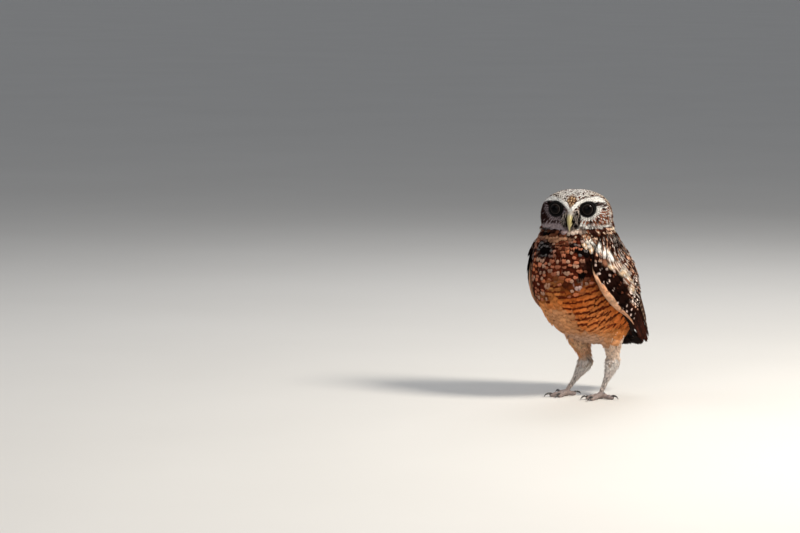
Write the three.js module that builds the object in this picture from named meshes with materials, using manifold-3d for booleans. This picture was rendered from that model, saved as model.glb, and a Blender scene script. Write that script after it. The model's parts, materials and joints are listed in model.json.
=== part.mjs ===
// A burrowing owl standing on level ground, life size, with its head turned over its left shoulder.
// Millimetres. While it is built, x runs to the bird's left, -y is forwards, z is up and the ground is z = 0.
import * as THREE from "three";
import { mergeVertices } from "three/addons/utils/BufferGeometryUtils.js";
import Module from "manifold-3d";

const wasm = await Module();
wasm.setup();

// Driving dimensions.
const GAP = 0.32; // left between pieces that touch
const VANE_THICKNESS = 0.55;
const VANE_CLEARANCE = 1.15; // from one vane's face to the same face of the next one above it
const VANE_OVERLAP = 0.72; // a vane's reach to each side, as a share of its distance from the next

// The body is a stack of ovals across a spine. Each station has the spine's place and how far
// the coat reaches from it to the side, to the belly and to the back.
const STATIONS = [
  { forward: 12, up: 186, side: 36.5, belly: 34, back: 38 },
  { forward: 11, up: 170, side: 41, belly: 44, back: 40 },
  { forward: 9, up: 153, side: 45, belly: 53.5, back: 44 },
  { forward: 3, up: 134, side: 47.5, belly: 58.5, back: 47 },
  { forward: -8, up: 114, side: 47, belly: 56, back: 47 },
  { forward: -22, up: 95, side: 42, belly: 47.5, back: 42 },
  { forward: -38, up: 78, side: 33, belly: 32, back: 30 },
  { forward: -54, up: 63, side: 20, belly: 16, back: 17 },
];
const TORSO_END = 6.9; // station number where the rump closes
const CAP_LENGTH = 1.3; // of stations, over which the rump rounds off

// The folded wings lie on cloaks, outer oval stacks on the same spine carried on to the wing tips. The right
// wing is held closer to the body than the left one, and further forwards.
const CLOAK_SPINE = [...STATIONS.map((s) => [s.forward, s.up]), [-70, 48], [-86, 33]];
const CLOAK_SIDE = {
  left: [36, 42.5, 49.5, 54, 53.5, 48.5, 41, 31.5, 22, 11],
  right: [36, 41.5, 47.2, 50.2, 49.7, 45, 38, 31, 22, 11],
};
const CLOAK_BELLY = {
  left: [34, 47, 60, 66, 63, 54, 39, 25, 16, 9],
  right: [34, 44.5, 55, 60.4, 58, 49.5, 35, 24, 16, 9],
};
const CLOAK_BACK = [36, 39.5, 45, 49, 49.5, 45.5, 38.5, 31, 22.5, 12];
const LEADING_EDGES = {
  left: [-2, -16, -29, -27, -21, -12, -10, -10, -9, -6],
  right: [-2, -24, -46, -50, -36, -18, -10, -10, -9, -6],
}; // degrees up from the bird's side
const BREAST_FULLNESS = 0.05; // how far the breast's ovals swell between front and side

const HEAD = {
  forward: 14, up: 196, turn: 33, side: 38, top: 26, chin: 27, front: 31, nape: 34, hindNeck: 5, square: 2.2,
};
const EYE = { apart: 33.6, up: 7, radius: 8.2, opening: 6.4, splay: 13 };
const NECK_TOP = 173.5;
const NECK_BOTTOM = 158;

const DEGREE = Math.PI / 180;

// A value between stations, on a smooth curve through all of them.
function between(values, at) {
  const i = Math.min(Math.max(Math.floor(at), 0), values.length - 2);
  const t = at - i;
  const v = (n) => values[Math.min(Math.max(n, 0), values.length - 1)];
  const [a, b, c, d] = [v(i - 1), v(i), v(i + 1), v(i + 2)];
  return b + 0.5 * t * (c - a + t * (2 * a - 5 * b + 4 * c - d + t * (3 * (b - c) + d - a)));
}

const mix = (a, b, t) => a + (b - a) * t;
const ease = (t) => t * t * (3 - 2 * t);
const ramp = (from, to, x) => ease(Math.min(Math.max((x - from) / (to - from), 0), 1));
const bell = (x, width) => Math.exp(-((x / width) ** 2));

// Seeded numbers from -1 to 1, so that every build varies the feathers alike.
let seed = 7;
function vary() {
  seed = (seed * 16807) % 2147483647;
  return (seed / 2147483647) * 2 - 1;
}

// Closed solids.
function solidOf(geometry) {
  geometry.deleteAttribute("normal");
  geometry.deleteAttribute("uv");
  const merged = mergeVertices(geometry, 1e-4);
  const mesh = () =>
    new wasm.Mesh({
      numProp: 3,
      vertProperties: merged.attributes.position.array,
      triVerts: new Uint32Array(merged.index.array),
    });
  const made = new wasm.Manifold(mesh());
  if (made.volume() >= 0) return made;
  const index = merged.index.array;
  for (let i = 0; i < index.length; i += 3) [index[i + 1], index[i + 2]] = [index[i + 2], index[i + 1]];
  return new wasm.Manifold(mesh());
}

function geometryOf(points, faces) {
  const geometry = new THREE.BufferGeometry().setFromPoints(points);
  geometry.setIndex(faces);
  return geometry;
}

// A closed skin over rings of points, with a fan to an end point at each end.
function ringSolid(rings, start, end) {
  const sides = rings[0].length;
  const points = [...rings.flat(), start, end];
  const first = rings.length * sides;
  const faces = [];
  for (let j = 0; j < sides; j++) {
    const k = (j + 1) % sides;
    const last = (rings.length - 1) * sides;
    faces.push(first, k, j, first + 1, last + j, last + k);
    for (let i = 0; i < rings.length - 1; i++) {
      const [a, b] = [i * sides, (i + 1) * sides];
      faces.push(a + j, a + k, b + k, a + j, b + k, b + j);
    }
  }
  return solidOf(geometryOf(points, faces));
}

// A thin plate between two grids of points, split into triangles alike on both faces.
function plateSolid(top, bottom) {
  const [rows, columns] = [top.length, top[0].length];
  const points = [...top.flat(), ...bottom.flat()];
  const under = rows * columns;
  const faces = [];
  for (let i = 0; i < rows - 1; i++)
    for (let j = 0; j < columns - 1; j++) {
      const [a, b] = [i * columns + j, (i + 1) * columns + j];
      faces.push(a, a + 1, b + 1, a, b + 1, b);
      faces.push(under + a, under + b + 1, under + a + 1, under + a, under + b, under + b + 1);
    }
  const rim = [];
  for (let j = 0; j < columns; j++) rim.push(j);
  for (let i = 1; i < rows; i++) rim.push(i * columns + columns - 1);
  for (let j = columns - 2; j >= 0; j--) rim.push((rows - 1) * columns + j);
  for (let i = rows - 2; i > 0; i--) rim.push(i * columns);
  rim.forEach((a, n) => {
    const b = rim[(n + 1) % rim.length];
    faces.push(a, under + a, under + b, a, under + b, b);
  });
  return solidOf(geometryOf(points, faces));
}

// The same solid with every corner moved out along its normal.
function grown(solid, amount = GAP * 1.25) {
  const mesh = solid.getMesh();
  const stride = mesh.numProp;
  const points = [];
  for (let i = 0; i < mesh.numVert; i++)
    points.push(new THREE.Vector3(...mesh.vertProperties.slice(i * stride, i * stride + 3)));
  const geometry = geometryOf(points, Array.from(mesh.triVerts));
  geometry.computeVertexNormals();
  const normal = geometry.attributes.normal;
  points.forEach((p, i) => p.addScaledVector(new THREE.Vector3().fromBufferAttribute(normal, i), amount));
  return solidOf(geometryOf(points, Array.from(mesh.triVerts)));
}

const fuse = (solids) => solids.reduce((whole, s) => whole.add(s));
const largest = (solid) => solid.decompose().reduce((best, s) => (s.volume() > best.volume() ? s : best));
const mirrored = (solid) => solid.mirror([1, 0, 0]);

function box(x0, x1, y0, y1, z0, z1) {
  const geometry = new THREE.BoxGeometry(x1 - x0, y1 - y0, z1 - z0);
  return solidOf(geometry.translate((x0 + x1) / 2, (y0 + y1) / 2, (z0 + z1) / 2));
}

// A limb with round ends along a curve. The reach across and the reach up and down are functions of the
// share along it, and the ends round off over a share of the length.
function limb({ path, across, wide, deep, sides = 10, steps = 8, ends = 0.1 }) {
  const rings = [];
  for (let i = 1; i < steps; i++) {
    const t = mix(i / steps, (1 - Math.cos((Math.PI * i) / steps)) / 2, 0.6);
    const inset = Math.max(1 - t / ends, 1 - (1 - t) / ends, 0);
    const round = Math.sqrt(1 - inset ** 2);
    const centre = path.getPoint(t);
    const ahead = path.getTangent(t);
    const side = across.clone().addScaledVector(ahead, -across.dot(ahead)).normalize();
    const up = side.clone().cross(ahead);
    const ring = [];
    for (let j = 0; j < sides; j++) {
      const angle = (2 * Math.PI * j) / sides;
      const point = centre.clone().addScaledVector(side, wide(t) * round * Math.cos(angle));
      ring.push(point.addScaledVector(up, deep(t) * round * Math.sin(angle)));
    }
    rings.push(ring);
  }
  return ringSolid(rings, path.getPoint(0), path.getPoint(1));
}

const curve = (...points) => new THREE.CatmullRomCurve3(points.map((p) => new THREE.Vector3(...p)));

// Body.
// A point of an oval stack: at counts stations down the spine, and angle turns from the bird's left side
// over its back (90) and under its belly (-90).
function stackPoint(spine, side, belly, back, at, angle, lift = 0) {
  const [forwards, heights] = [spine.map((s) => s[0]), spine.map((s) => s[1])];
  const place = (n) => new THREE.Vector2(between(forwards, n), between(heights, n));
  const centre = place(at);
  const along = place(at + 0.01).sub(place(at - 0.01)).normalize();
  const under = Math.sin(angle * DEGREE) < 0;
  const full = under ? 1 + BREAST_FULLNESS * Math.sin(2 * angle * DEGREE) ** 2 : 1;
  const reach = (under ? between(belly, at) : between(back, at)) * full;
  const x = (between(side, at) * full + lift) * Math.cos(angle * DEGREE);
  const out = (reach + lift) * Math.sin(angle * DEGREE);
  return new THREE.Vector3(x, -(centre.x + along.y * out), centre.y - along.x * out);
}

const list = (name) => STATIONS.map((s) => s[name]);
const SPINE = STATIONS.map((s) => [s.forward, s.up]);

function bodyPoint(at, angle) {
  const past = Math.max(at - (TORSO_END - CAP_LENGTH), 0) / CAP_LENGTH;
  const cap = Math.sqrt(Math.max(1 - past * past, 0));
  const scaled = (name) => list(name).map((v) => v * cap);
  return stackPoint(SPINE, scaled("side"), scaled("belly"), scaled("back"), at, angle);
}

function bodySolid() {
  const [rows, sides] = [19, 30];
  const rings = [];
  for (let i = 0; i <= rows; i++) {
    const t = i / rows;
    const at = TORSO_END * (t + 0.07 * Math.sin(2 * Math.PI * t) * (t > 0.5 ? -1 : 0)) * 0.998;
    const ring = [];
    for (let j = 0; j < sides; j++) ring.push(bodyPoint(at, (360 * j) / sides));
    rings.push(ring);
  }
  const end = new THREE.Vector3(0, -between(list("forward"), TORSO_END), between(list("up"), TORSO_END));
  const inHead = new THREE.Vector3(0, -HEAD.forward, HEAD.up + 4);
  rings.unshift(rings[0].map((point) => point.clone().lerp(inHead, 0.4)));
  return ringSolid(rings, inHead, end);
}

// Head.
// In the head's own frame x is its left, y is backwards and z is up from its middle.
const headFrame = new THREE.Matrix4()
  .makeTranslation(0, -HEAD.forward, HEAD.up)
  .multiply(new THREE.Matrix4().makeRotationZ(HEAD.turn * DEGREE));
const placed = (solid, frame) => solid.transform(frame.elements);

// How far the face stands out from the plain oval, by distance from the middle line and height.
function faceRelief(x, z) {
  const toEye = Math.hypot(x - EYE.apart / 2, z - EYE.up);
  const browTop = 17 - 0.034 * (x - 19) ** 2; // the height of the brow's arch over the eye
  const brow = 2.1 * bell(z - browTop, 3.4) * ramp(1, 9, x) * (1 - ramp(27, 34, x));
  const rim = 1.5 * bell(toEye - 18, 3) * (1 - ramp(2, 10, z));
  const bridge = 3.2 * bell(x, 4.5) * ramp(-16, -2, z) * (1 - ramp(6, 17, z));
  const cheek = 1.6 * Math.exp(-(((x - 8) / 5) ** 2) - ((z + 9) / 5) ** 2);
  return brow + rim + bridge + cheek - 2.6 * bell(toEye, 10);
}

function headPoint(direction) {
  const reach = [
    HEAD.side,
    direction.y < 0 ? HEAD.front : HEAD.nape,
    direction.z > 0 ? HEAD.top : HEAD.chin,
  ];
  const parts = direction.toArray().map((d, i) => Math.abs(d / reach[i]) ** HEAD.square);
  const point = direction.clone().multiplyScalar((parts[0] + parts[1] + parts[2]) ** (-1 / HEAD.square));
  point.y -= faceRelief(Math.abs(point.x), point.z) * ramp(0.15, 0.6, -direction.y);
  point.y += HEAD.hindNeck * ramp(0, 0.5, direction.y) * ramp(12, -14, point.z);
  return point;
}

function headSolid() {
  const [rows, sides] = [21, 36];
  const rings = [];
  for (let i = 1; i < rows; i++) {
    const polar = Math.PI * (i / rows) ** 1.3;
    const ring = [];
    for (let j = 0; j < sides; j++) {
      const round = (2 * Math.PI * j) / sides;
      const [x, z] = [Math.sin(polar) * Math.cos(round), Math.sin(polar) * Math.sin(round)];
      ring.push(headPoint(new THREE.Vector3(x, -Math.cos(polar), z)));
    }
    rings.push(ring);
  }
  const pole = (y) => headPoint(new THREE.Vector3(0, y, 0));
  return ringSolid(rings, pole(-1), pole(1));
}

// The eye's middle and its line of sight, for the left (1) or the right (-1) one.
function eyeFrame(hand) {
  const lid = new THREE.Vector3((hand * EYE.apart) / 2, 0, EYE.up);
  const front = headPoint(new THREE.Vector3(lid.x, -HEAD.front, lid.z).normalize());
  const sight = new THREE.Vector3(hand * Math.sin(EYE.splay * DEGREE), -Math.cos(EYE.splay * DEGREE), 0);
  const lidDepth = Math.sqrt(EYE.radius ** 2 - EYE.opening ** 2);
  const middle = lid.setY(front.y).addScaledVector(sight, 0.4 - lidDepth);
  return { middle, sight, lidDepth };
}

function eyeSolid(hand) {
  const ball = new THREE.SphereGeometry(EYE.radius, 14, 9);
  return solidOf(ball.translate(...eyeFrame(hand).middle.toArray()));
}

function lidSolid(hand) {
  const { middle, sight, lidDepth } = eyeFrame(hand);
  const ring = new THREE.TorusGeometry(EYE.opening + 0.5, 1.05, 5, 16);
  ring.lookAt(sight);
  return solidOf(ring.translate(...middle.addScaledVector(sight, lidDepth).toArray()));
}

// Bill.
const SIDEWAYS = new THREE.Vector3(1, 0, 0);

function upperBill() {
  const path = curve([0, -27, 2], [0, -33.5, 1], [0, -38.5, -4], [0, -39.3, -9.5], [0, -37.2, -15.5]);
  const ridge = limb({
    path,
    across: SIDEWAYS,
    wide: (t) => mix(3.7, 0.35, t ** 1.5),
    deep: (t) => mix(4.4, 0.4, t ** 1.5),
    steps: 9,
    ends: 0.05,
  });
  const nostril = (hand) => solidOf(new THREE.SphereGeometry(0.8, 6, 5).translate(hand * 3, -34.8, 0.8));
  return ridge.subtract(nostril(1)).subtract(nostril(-1));
}

function lowerBill() {
  const path = curve([0, -26, -5], [0, -31, -6.8], [0, -35.4, -10.8]);
  return limb({
    path,
    across: SIDEWAYS,
    wide: (t) => mix(3, 0.9, t * t),
    deep: (t) => mix(2.2, 0.5, t * t),
    sides: 8,
    steps: 4,
  });
}

// Feathers.
// A vane on a surface. surface(p, q, lift) gives a point, path(t) the vane's middle line as [p, q],
// halfWidth(t), lift(t) and roll(t) its reach to each side, its height and how far it tips across.
function vane({ surface, path, halfWidth, lift, roll, rows = 5, columns = 1, thickness = VANE_THICKNESS }) {
  const [top, bottom] = [[], []];
  const small = 0.02;
  for (let i = 0; i <= rows; i++) {
    const t = i / rows;
    const [p, q] = path(t);
    const here = surface(p, q, 0);
    const alongP = surface(p + small, q, 0).sub(here).divideScalar(small);
    const alongQ = surface(p, q + small, 0).sub(here).divideScalar(small);
    const [p2, q2] = path(t + small);
    const forward = surface(p2, q2, 0).sub(here).normalize();
    const normal = alongP.clone().cross(alongQ).normalize();
    if (normal.dot(surface(p, q, 1).sub(here)) < 0) normal.negate();
    const side = normal.clone().cross(forward).normalize();
    const [topRow, bottomRow] = [[], []];
    for (let j = 0; j <= columns; j++) {
      const u = (2 * j) / columns - 1;
      const step = side.clone().multiplyScalar(u * halfWidth(t));
      const [pp, pq, qq] = [alongP.lengthSq(), alongP.dot(alongQ), alongQ.lengthSq()];
      const [sp, sq] = [step.dot(alongP), step.dot(alongQ)];
      const scale = pp * qq - pq * pq;
      const [dp, dq] = [(sp * qq - sq * pq) / scale, (sq * pp - sp * pq) / scale];
      const low = surface(p + dp, q + dq, lift(t) - roll(t) * u);
      bottomRow.push(low);
      topRow.push(low.clone().addScaledVector(normal, thickness));
    }
    top.push(topRow);
    bottom.push(bottomRow);
  }
  return plateSolid(top, bottom);
}

// Folded wing.
const cloakOf = (side) => (at, angle, lift) =>
  stackPoint(CLOAK_SPINE, CLOAK_SIDE[side], CLOAK_BELLY[side], CLOAK_BACK, at, angle, lift);
const girth = (at) => (between(CLOAK_SIDE.left, at) + between(CLOAK_BACK, at)) / 2;
const acrossWing = (side, at, distance) => between(LEADING_EDGES[side], at) + distance / girth(at) / DEGREE;

// Each tier of the wing: how many vanes, where its roots and tips lie down the spine, how far the first one
// and each next one lie from the leading edge (or from the middle of the back) at root and tip, the height
// that it reaches, and how wide its ends are as a share. The right wing, which reaches further round, has
// more vanes in some tiers.
const TIERS = [
  { name: "leading edge", count: 1, root: 1.9, tip: () => 6.4,
    rootOff: 3.5, rootStep: 8, tipOff: 2.5, tipStep: 6, lift: 1.2, rows: 8 },
  { name: "primaries", count: 6, root: 4.9, tip: (n) => 8.1 - Math.exp(-n / 1.3),
    rootOff: 4, rootStep: 5.4, tipOff: 3, tipStep: 3.9, lift: 2.2, rows: 5, blunt: 0.75 },
  { name: "secondaries", count: 6, root: 4.6, tip: (n) => 7.4 - 0.15 * n,
    rootOff: 34, rootStep: 8, tipOff: 21, tipStep: 6.6, lift: 2.6, rows: 5, blunt: 0.6 },
  { name: "greater coverts", count: 7, moreOnRight: 2, root: 3.65, tip: (n) => 5.4 - 0.09 * n,
    rootOff: 5, rootStep: 7.8, tipOff: 5.5, tipStep: 7.8, lift: 2.4, rows: 4 },
  { name: "median coverts", count: 7, moreOnRight: 2, root: 2.75, tip: (n) => 4.2 - 0.05 * n,
    rootOff: 5, rootStep: 8.2, tipOff: 6, tipStep: 8.4, lift: 2.4, rows: 3 },
  { name: "lesser coverts", count: 6, moreOnRight: 2, root: 1.9, tip: (n) => 3.25 - 0.04 * n,
    rootOff: 6, rootStep: 8.4, tipOff: 7, tipStep: 8.8, lift: 2.4, rows: 3 },
  { name: "scapulars", count: 5, root: 1.8, tip: (n) => 4.9 + 0.3 * n, fromBack: true,
    rootOff: 5, rootStep: 8.6, tipOff: 4.6, tipStep: 6.4, lift: 3.4, rows: 5 },
];

// Both wings are laid as left wings, with the leading edge of their own side.
function tierVanes(tier, side) {
  const vanes = [];
  const share = (t) => mix(1, tier.blunt ?? 0.45, ramp(0.7, 1.02, t)) * mix(0.8, 1, ramp(0, 0.4, t));
  const count = tier.count + (side === "right" ? (tier.moreOnRight ?? 0) : 0);
  for (let n = 0; n < count; n++) {
    const tipAt = tier.tip(n) + 0.05 * vary();
    const step = (t) => mix(tier.rootStep, tier.tipStep, t);
    const place = tier.fromBack ? count - 1 - n : n;
    vanes.push(
      vane({
        surface: cloakOf(side),
        path: (t) => {
          const at = mix(tier.root, tipAt, t);
          const off = mix(tier.rootOff, tier.tipOff, t) + step(t) * place;
          return [at, tier.fromBack ? 90 - off / girth(at) / DEGREE : acrossWing(side, at, off)];
        },
        halfWidth: (t) => VANE_OVERLAP * step(t) * share(t),
        lift: (t) => mix(-1.6, tier.lift, ramp(-0.1, 0.6, t)),
        roll: (t) => VANE_CLEARANCE * VANE_OVERLAP * share(t),
        rows: tier.rows,
      }),
    );
  }
  return vanes;
}

// The arm under the coverts, whose edges dip into the body's side.
function wingArm(side) {
  const [rows, columns] = [7, 6];
  const [top, bottom] = [[], []];
  for (let i = 0; i <= rows; i++) {
    const at = mix(1.3, 6.35, i / rows);
    const [topRow, bottomRow] = [[], []];
    for (let j = 0; j <= columns; j++) {
      const angle = mix(between(LEADING_EDGES[side], at) - 1, 89, j / columns);
      const edge = Math.min(i / rows, 1 - i / rows, j / columns);
      topRow.push(cloakOf(side)(at, angle, mix(-5, 0.3, ramp(0, 0.17, edge))));
      bottomRow.push(cloakOf(side)(at, angle, -10));
    }
    top.push(topRow);
    bottom.push(bottomRow);
  }
  return plateSolid(top, bottom);
}

// Tail.
const TAIL = { forward: -46, up: 86, slope: 47, length: 51, wide: 4.3, swing: -4.5 };

function tailPoint(along, sideways, lift) {
  const [c, s] = [Math.cos(TAIL.slope * DEGREE), Math.sin(TAIL.slope * DEGREE)];
  const height = lift - sideways ** 2 / 160;
  const back = -TAIL.forward + along * c + height * s;
  return new THREE.Vector3(sideways, back, TAIL.up - along * s + height * c);
}

// Six feathers each side of the middle line, each lying under its inner neighbour, the left side lowest.
function tailFeathers() {
  const vanes = [];
  for (let n = 0; n < 6; n++)
    for (const hand of [1, -1]) {
      const middle = hand > 0 ? 3.2 + 2.4 * n : -(1.5 + 2.4 * n);
      const length = TAIL.length - 0.5 * n - 0.12 * n * n + 0.4 * vary();
      vanes.push(
        vane({
          surface: tailPoint,
          path: (t) => [mix(-4, length, t), middle * mix(0.5, 1, t) + TAIL.swing * t],
          halfWidth: (t) => TAIL.wide * mix(0.5, 1, t) * mix(1, 0.5, ramp(0.85, 1.02, t)),
          lift: () => -VANE_CLEARANCE * (n + (hand > 0 ? 1 : 0)),
          roll: () => 0,
          rows: 5,
        }),
      );
    }
  return vanes;
}

// The tail's root with the coverts above and below it.
function tailRoot() {
  const at = (along, lift) => tailPoint(along, 0, lift).toArray();
  const root = limb({
    path: curve(at(-14, -4), at(4, -3.5), at(18, -3.5), at(31, -4)),
    across: SIDEWAYS,
    wide: (t) => mix(16, 11, t) * (1 - 0.7 * t ** 6),
    deep: (t) => mix(10, 3.8, t) * (1 - 0.7 * t ** 6),
    sides: 12,
    steps: 6,
  });
  const coverts = [];
  for (let n = -2; n <= 2; n++)
    for (const upper of [true, false]) {
      const outwards = n % 2 === 0 ? 0 : (upper ? 0.9 : -0.8);
      const inwards = (upper ? -0.6 : 0.35) * n * n;
      coverts.push(
        vane({
          surface: tailPoint,
          path: (t) => [mix(-2, (upper ? 33 : 35) - Math.abs(n), t), n * mix(4, 5.8, t)],
          halfWidth: (t) => 4.6 * mix(0.8, 1, t) * mix(1, 0.45, ramp(0.7, 1.02, t)),
          lift: (t) => (upper ? mix(0.5, 1.9, ramp(0, 0.5, t)) : -5.9) + outwards + inwards,
          roll: () => 0,
          rows: 3,
        }),
      );
    }
  return [root, ...coverts];
}

// Legs.
// Each leg by side (1 is the left): where the hip, heel and foot are, in side, forward and up.
const LEGS = [
  { name: "left", hand: 1, heel: [15.5, -29.5, 40.5], foot: [20, -4, 5], toesTurn: 8 },
  { name: "right", hand: -1, heel: [-14.5, -20, 38], foot: [-20, 6, 5], toesTurn: -8 },
];
const inBody = ([side, forward, up]) => new THREE.Vector3(side, -forward, up);

function thighSolid(leg) {
  const [side, forward, up] = leg.heel;
  const points = [
    [side + leg.hand * 5, forward + 12, up + 50],
    [side + leg.hand * 5, forward + 9, up + 28],
    [side + leg.hand * 2, forward + 4, up + 11],
    [side, forward + 1, up - 2],
  ];
  return limb({
    path: new THREE.CatmullRomCurve3(points.map(inBody)),
    across: SIDEWAYS,
    wide: (t) => mix(17, 7.4, ramp(0, 0.9, t)),
    deep: (t) => mix(20, 8.2, ramp(0, 0.9, t)),
    sides: 12,
    steps: 8,
  });
}

function tarsusSolid(leg) {
  const heel = inBody(leg.heel);
  const foot = inBody(leg.foot);
  const path = new THREE.CatmullRomCurve3([
    heel.clone().lerp(foot, -0.05),
    heel.clone().lerp(foot, 0.45).add(new THREE.Vector3(0, 0.8, -0.8)),
    foot,
  ]);
  return limb({
    path,
    across: SIDEWAYS,
    wide: (t) => mix(7.6, 2.5, ramp(0.05, 0.75, t)),
    deep: (t) => mix(8.2, 2.7, ramp(0.05, 0.75, t)),
    sides: 10,
    steps: 7,
  });
}

// Each toe: its direction out from the foot (0 is forwards, positive to the outside), length and claw length.
const TOES = [
  { name: "inner", turn: -24, length: 17, claw: 9.5 },
  { name: "middle", turn: 6, length: 20, claw: 10 },
  { name: "outer", turn: 96, length: 15, claw: 8.5 },
  { name: "hind", turn: 196, length: 10, claw: 9 },
];
const TOE_RADIUS = 2.5;
const TOE_AXIS = 2.1;

function toeLine(leg, toe) {
  const turn = (leg.toesTurn * leg.hand + toe.turn) * DEGREE * leg.hand;
  const out = new THREE.Vector3(Math.sin(turn), -Math.cos(turn), 0);
  const ankle = inBody(leg.foot);
  const point = (distance, up) => ankle.clone().setZ(up).addScaledVector(out, distance);
  return { out, across: new THREE.Vector3(0, 0, 1).cross(out), point };
}

function toeSolid(leg, toe) {
  const { across, point } = toeLine(leg, toe);
  return limb({
    path: new THREE.CatmullRomCurve3([
      point(-1, 4.6),
      point(toe.length * 0.35, 3.3),
      point(toe.length * 0.7, TOE_AXIS + 0.3),
      point(toe.length + 1, TOE_AXIS),
    ]),
    across,
    wide: (t) => TOE_RADIUS * (1 + 0.08 * Math.cos(t * 19)) * (1 - 0.5 * t ** 9),
    deep: (t) => TOE_RADIUS * (1 - 0.5 * t ** 9),
    sides: 8,
    steps: 5,
  });
}

function clawSolid(leg, toe) {
  const { across, point } = toeLine(leg, toe);
  const start = toe.length - 2;
  return limb({
    path: new THREE.CatmullRomCurve3([
      point(start, 3),
      point(start + toe.claw * 0.38, 4.1),
      point(start + toe.claw * 0.8, 3.1),
      point(start + toe.claw, 0.75),
    ]),
    across,
    wide: (t) => mix(1.35, 0.28, t ** 1.2),
    deep: (t) => mix(1.5, 0.28, t ** 1.2),
    sides: 6,
    steps: 5,
  });
}

function footSolid(leg) {
  const pad = new THREE.SphereGeometry(1, 8, 6).scale(4.2, 4.6, 3.6);
  const [side, forward] = leg.foot;
  const toes = TOES.map((toe) => toeSolid(leg, toe));
  const joined = fuse([solidOf(pad.translate(side, -forward, 3.4)), ...toes]);
  return joined.subtract(box(-90, 90, -90, 90, -20, 0));
}

// Assembly.
const owl = new THREE.Group();
const COLOURS = {
  brown: [0x5a4030, 0.85],
  pale: [0xcdb797, 0.85],
  buff: [0xc09468, 0.85],
  white: [0xcfc4b8, 0.85],
  skin: [0x7a6a5c, 0.7],
  horn: [0xa39a55, 0.45],
  claw: [0x1d1a19, 0.35],
  eye: [0x120d0a, 0.06],
};

function addNode(name, solid, colour) {
  const kept = largest(solid);
  const mesh = kept.getMesh();
  const positions = new Float32Array(mesh.numVert * 3);
  for (let i = 0; i < mesh.numVert; i++)
    positions.set(mesh.vertProperties.subarray(i * mesh.numProp, i * mesh.numProp + 3), i * 3);
  const geometry = new THREE.BufferGeometry();
  geometry.setAttribute("position", new THREE.BufferAttribute(positions, 3));
  geometry.setIndex(new THREE.BufferAttribute(mesh.triVerts, 1));
  geometry.computeVertexNormals();
  const [color, roughness] = COLOURS[colour];
  const node = new THREE.Mesh(geometry, new THREE.MeshStandardMaterial({ color, roughness, metalness: 0 }));
  node.name = name;
  owl.add(node);
}

const HANDS = [["left", 1], ["right", -1]];

const body = bodySolid();
const billTop = placed(upperBill(), headFrame);
const billUnder = placed(lowerBill(), headFrame).subtract(grown(billTop));
const eyes = HANDS.map(([, hand]) => placed(eyeSolid(hand), headFrame));
const skull = placed(headSolid(), headFrame);
const lids = HANDS.map(([, hand]) => placed(lidSolid(hand), headFrame));

const flesh = fuse([body, skull]);
const lidded = fuse([flesh, ...lids]);
const faced = [billTop, billUnder, ...eyes].reduce((whole, s) => whole.subtract(grown(s)), lidded);
const slab = (z) => box(-120, 120, -120, 120, z - GAP / 2, z + GAP / 2);
const parted = faced.subtract(slab(NECK_TOP)).subtract(slab(NECK_BOTTOM));
const level = (z0, z1) => parted.intersect(box(-120, 120, -120, 120, z0, z1));

addNode("head", level(NECK_TOP, 300), "brown");
addNode("neck", level(NECK_BOTTOM, NECK_TOP), "brown");
addNode("torso", level(0, NECK_BOTTOM), "buff");
addNode("bill_upper", billTop, "horn");
addNode("bill_lower", billUnder, "horn");
HANDS.forEach(([name], n) => addNode("eye_" + name, eyes[n], "eye"));

const spread = grown(flesh);
for (const [side, hand] of HANDS) {
  const vanes = TIERS.flatMap((tier) => tierVanes(tier, side));
  const facing = hand > 0 ? spread : mirrored(spread);
  const wing = fuse([wingArm(side), ...vanes]).subtract(facing).subtract(box(-120, 0.3, -120, 120, 0, 240));
  addNode("wing_" + side, hand > 0 ? wing : mirrored(wing), "brown");
}

addNode("tail", fuse([...tailRoot(), ...tailFeathers()]).subtract(spread), "brown");

for (const leg of LEGS) {
  const thigh = thighSolid(leg);
  const tarsus = tarsusSolid(leg);
  const foot = footSolid(leg);
  addNode("thigh_" + leg.name, thigh.subtract(spread), "buff");
  addNode("tarsus_" + leg.name, tarsus.subtract(grown(thigh)), "white");
  addNode("foot_" + leg.name, foot.subtract(grown(tarsus)), "skin");
  for (const toe of TOES)
    addNode("claw_" + toe.name + "_" + leg.name, clawSolid(leg, toe).subtract(grown(foot)), "claw");
}

// The origin is the middle of the box round the owl, on the ground.
const bounds = new THREE.Box3().setFromObject(owl);
const middle = bounds.getCenter(new THREE.Vector3());
owl.position.set(-middle.x, -middle.y, -bounds.min.z);

export default owl;
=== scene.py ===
"""A burrowing owl, life size: skin, feathers, eyes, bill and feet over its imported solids.

Shapes are worked out in millimetres in the bird's own frame, in which the solids were drawn: x runs to its
left, y backwards, z up, and the ground is z = 0. They become metres in the row frame as each mesh is made.
"""

import json
import math
from collections import namedtuple

import bpy
import numpy as np
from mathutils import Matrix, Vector
from mathutils.bvhtree import BVHTree
from mathutils.kdtree import KDTree

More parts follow.
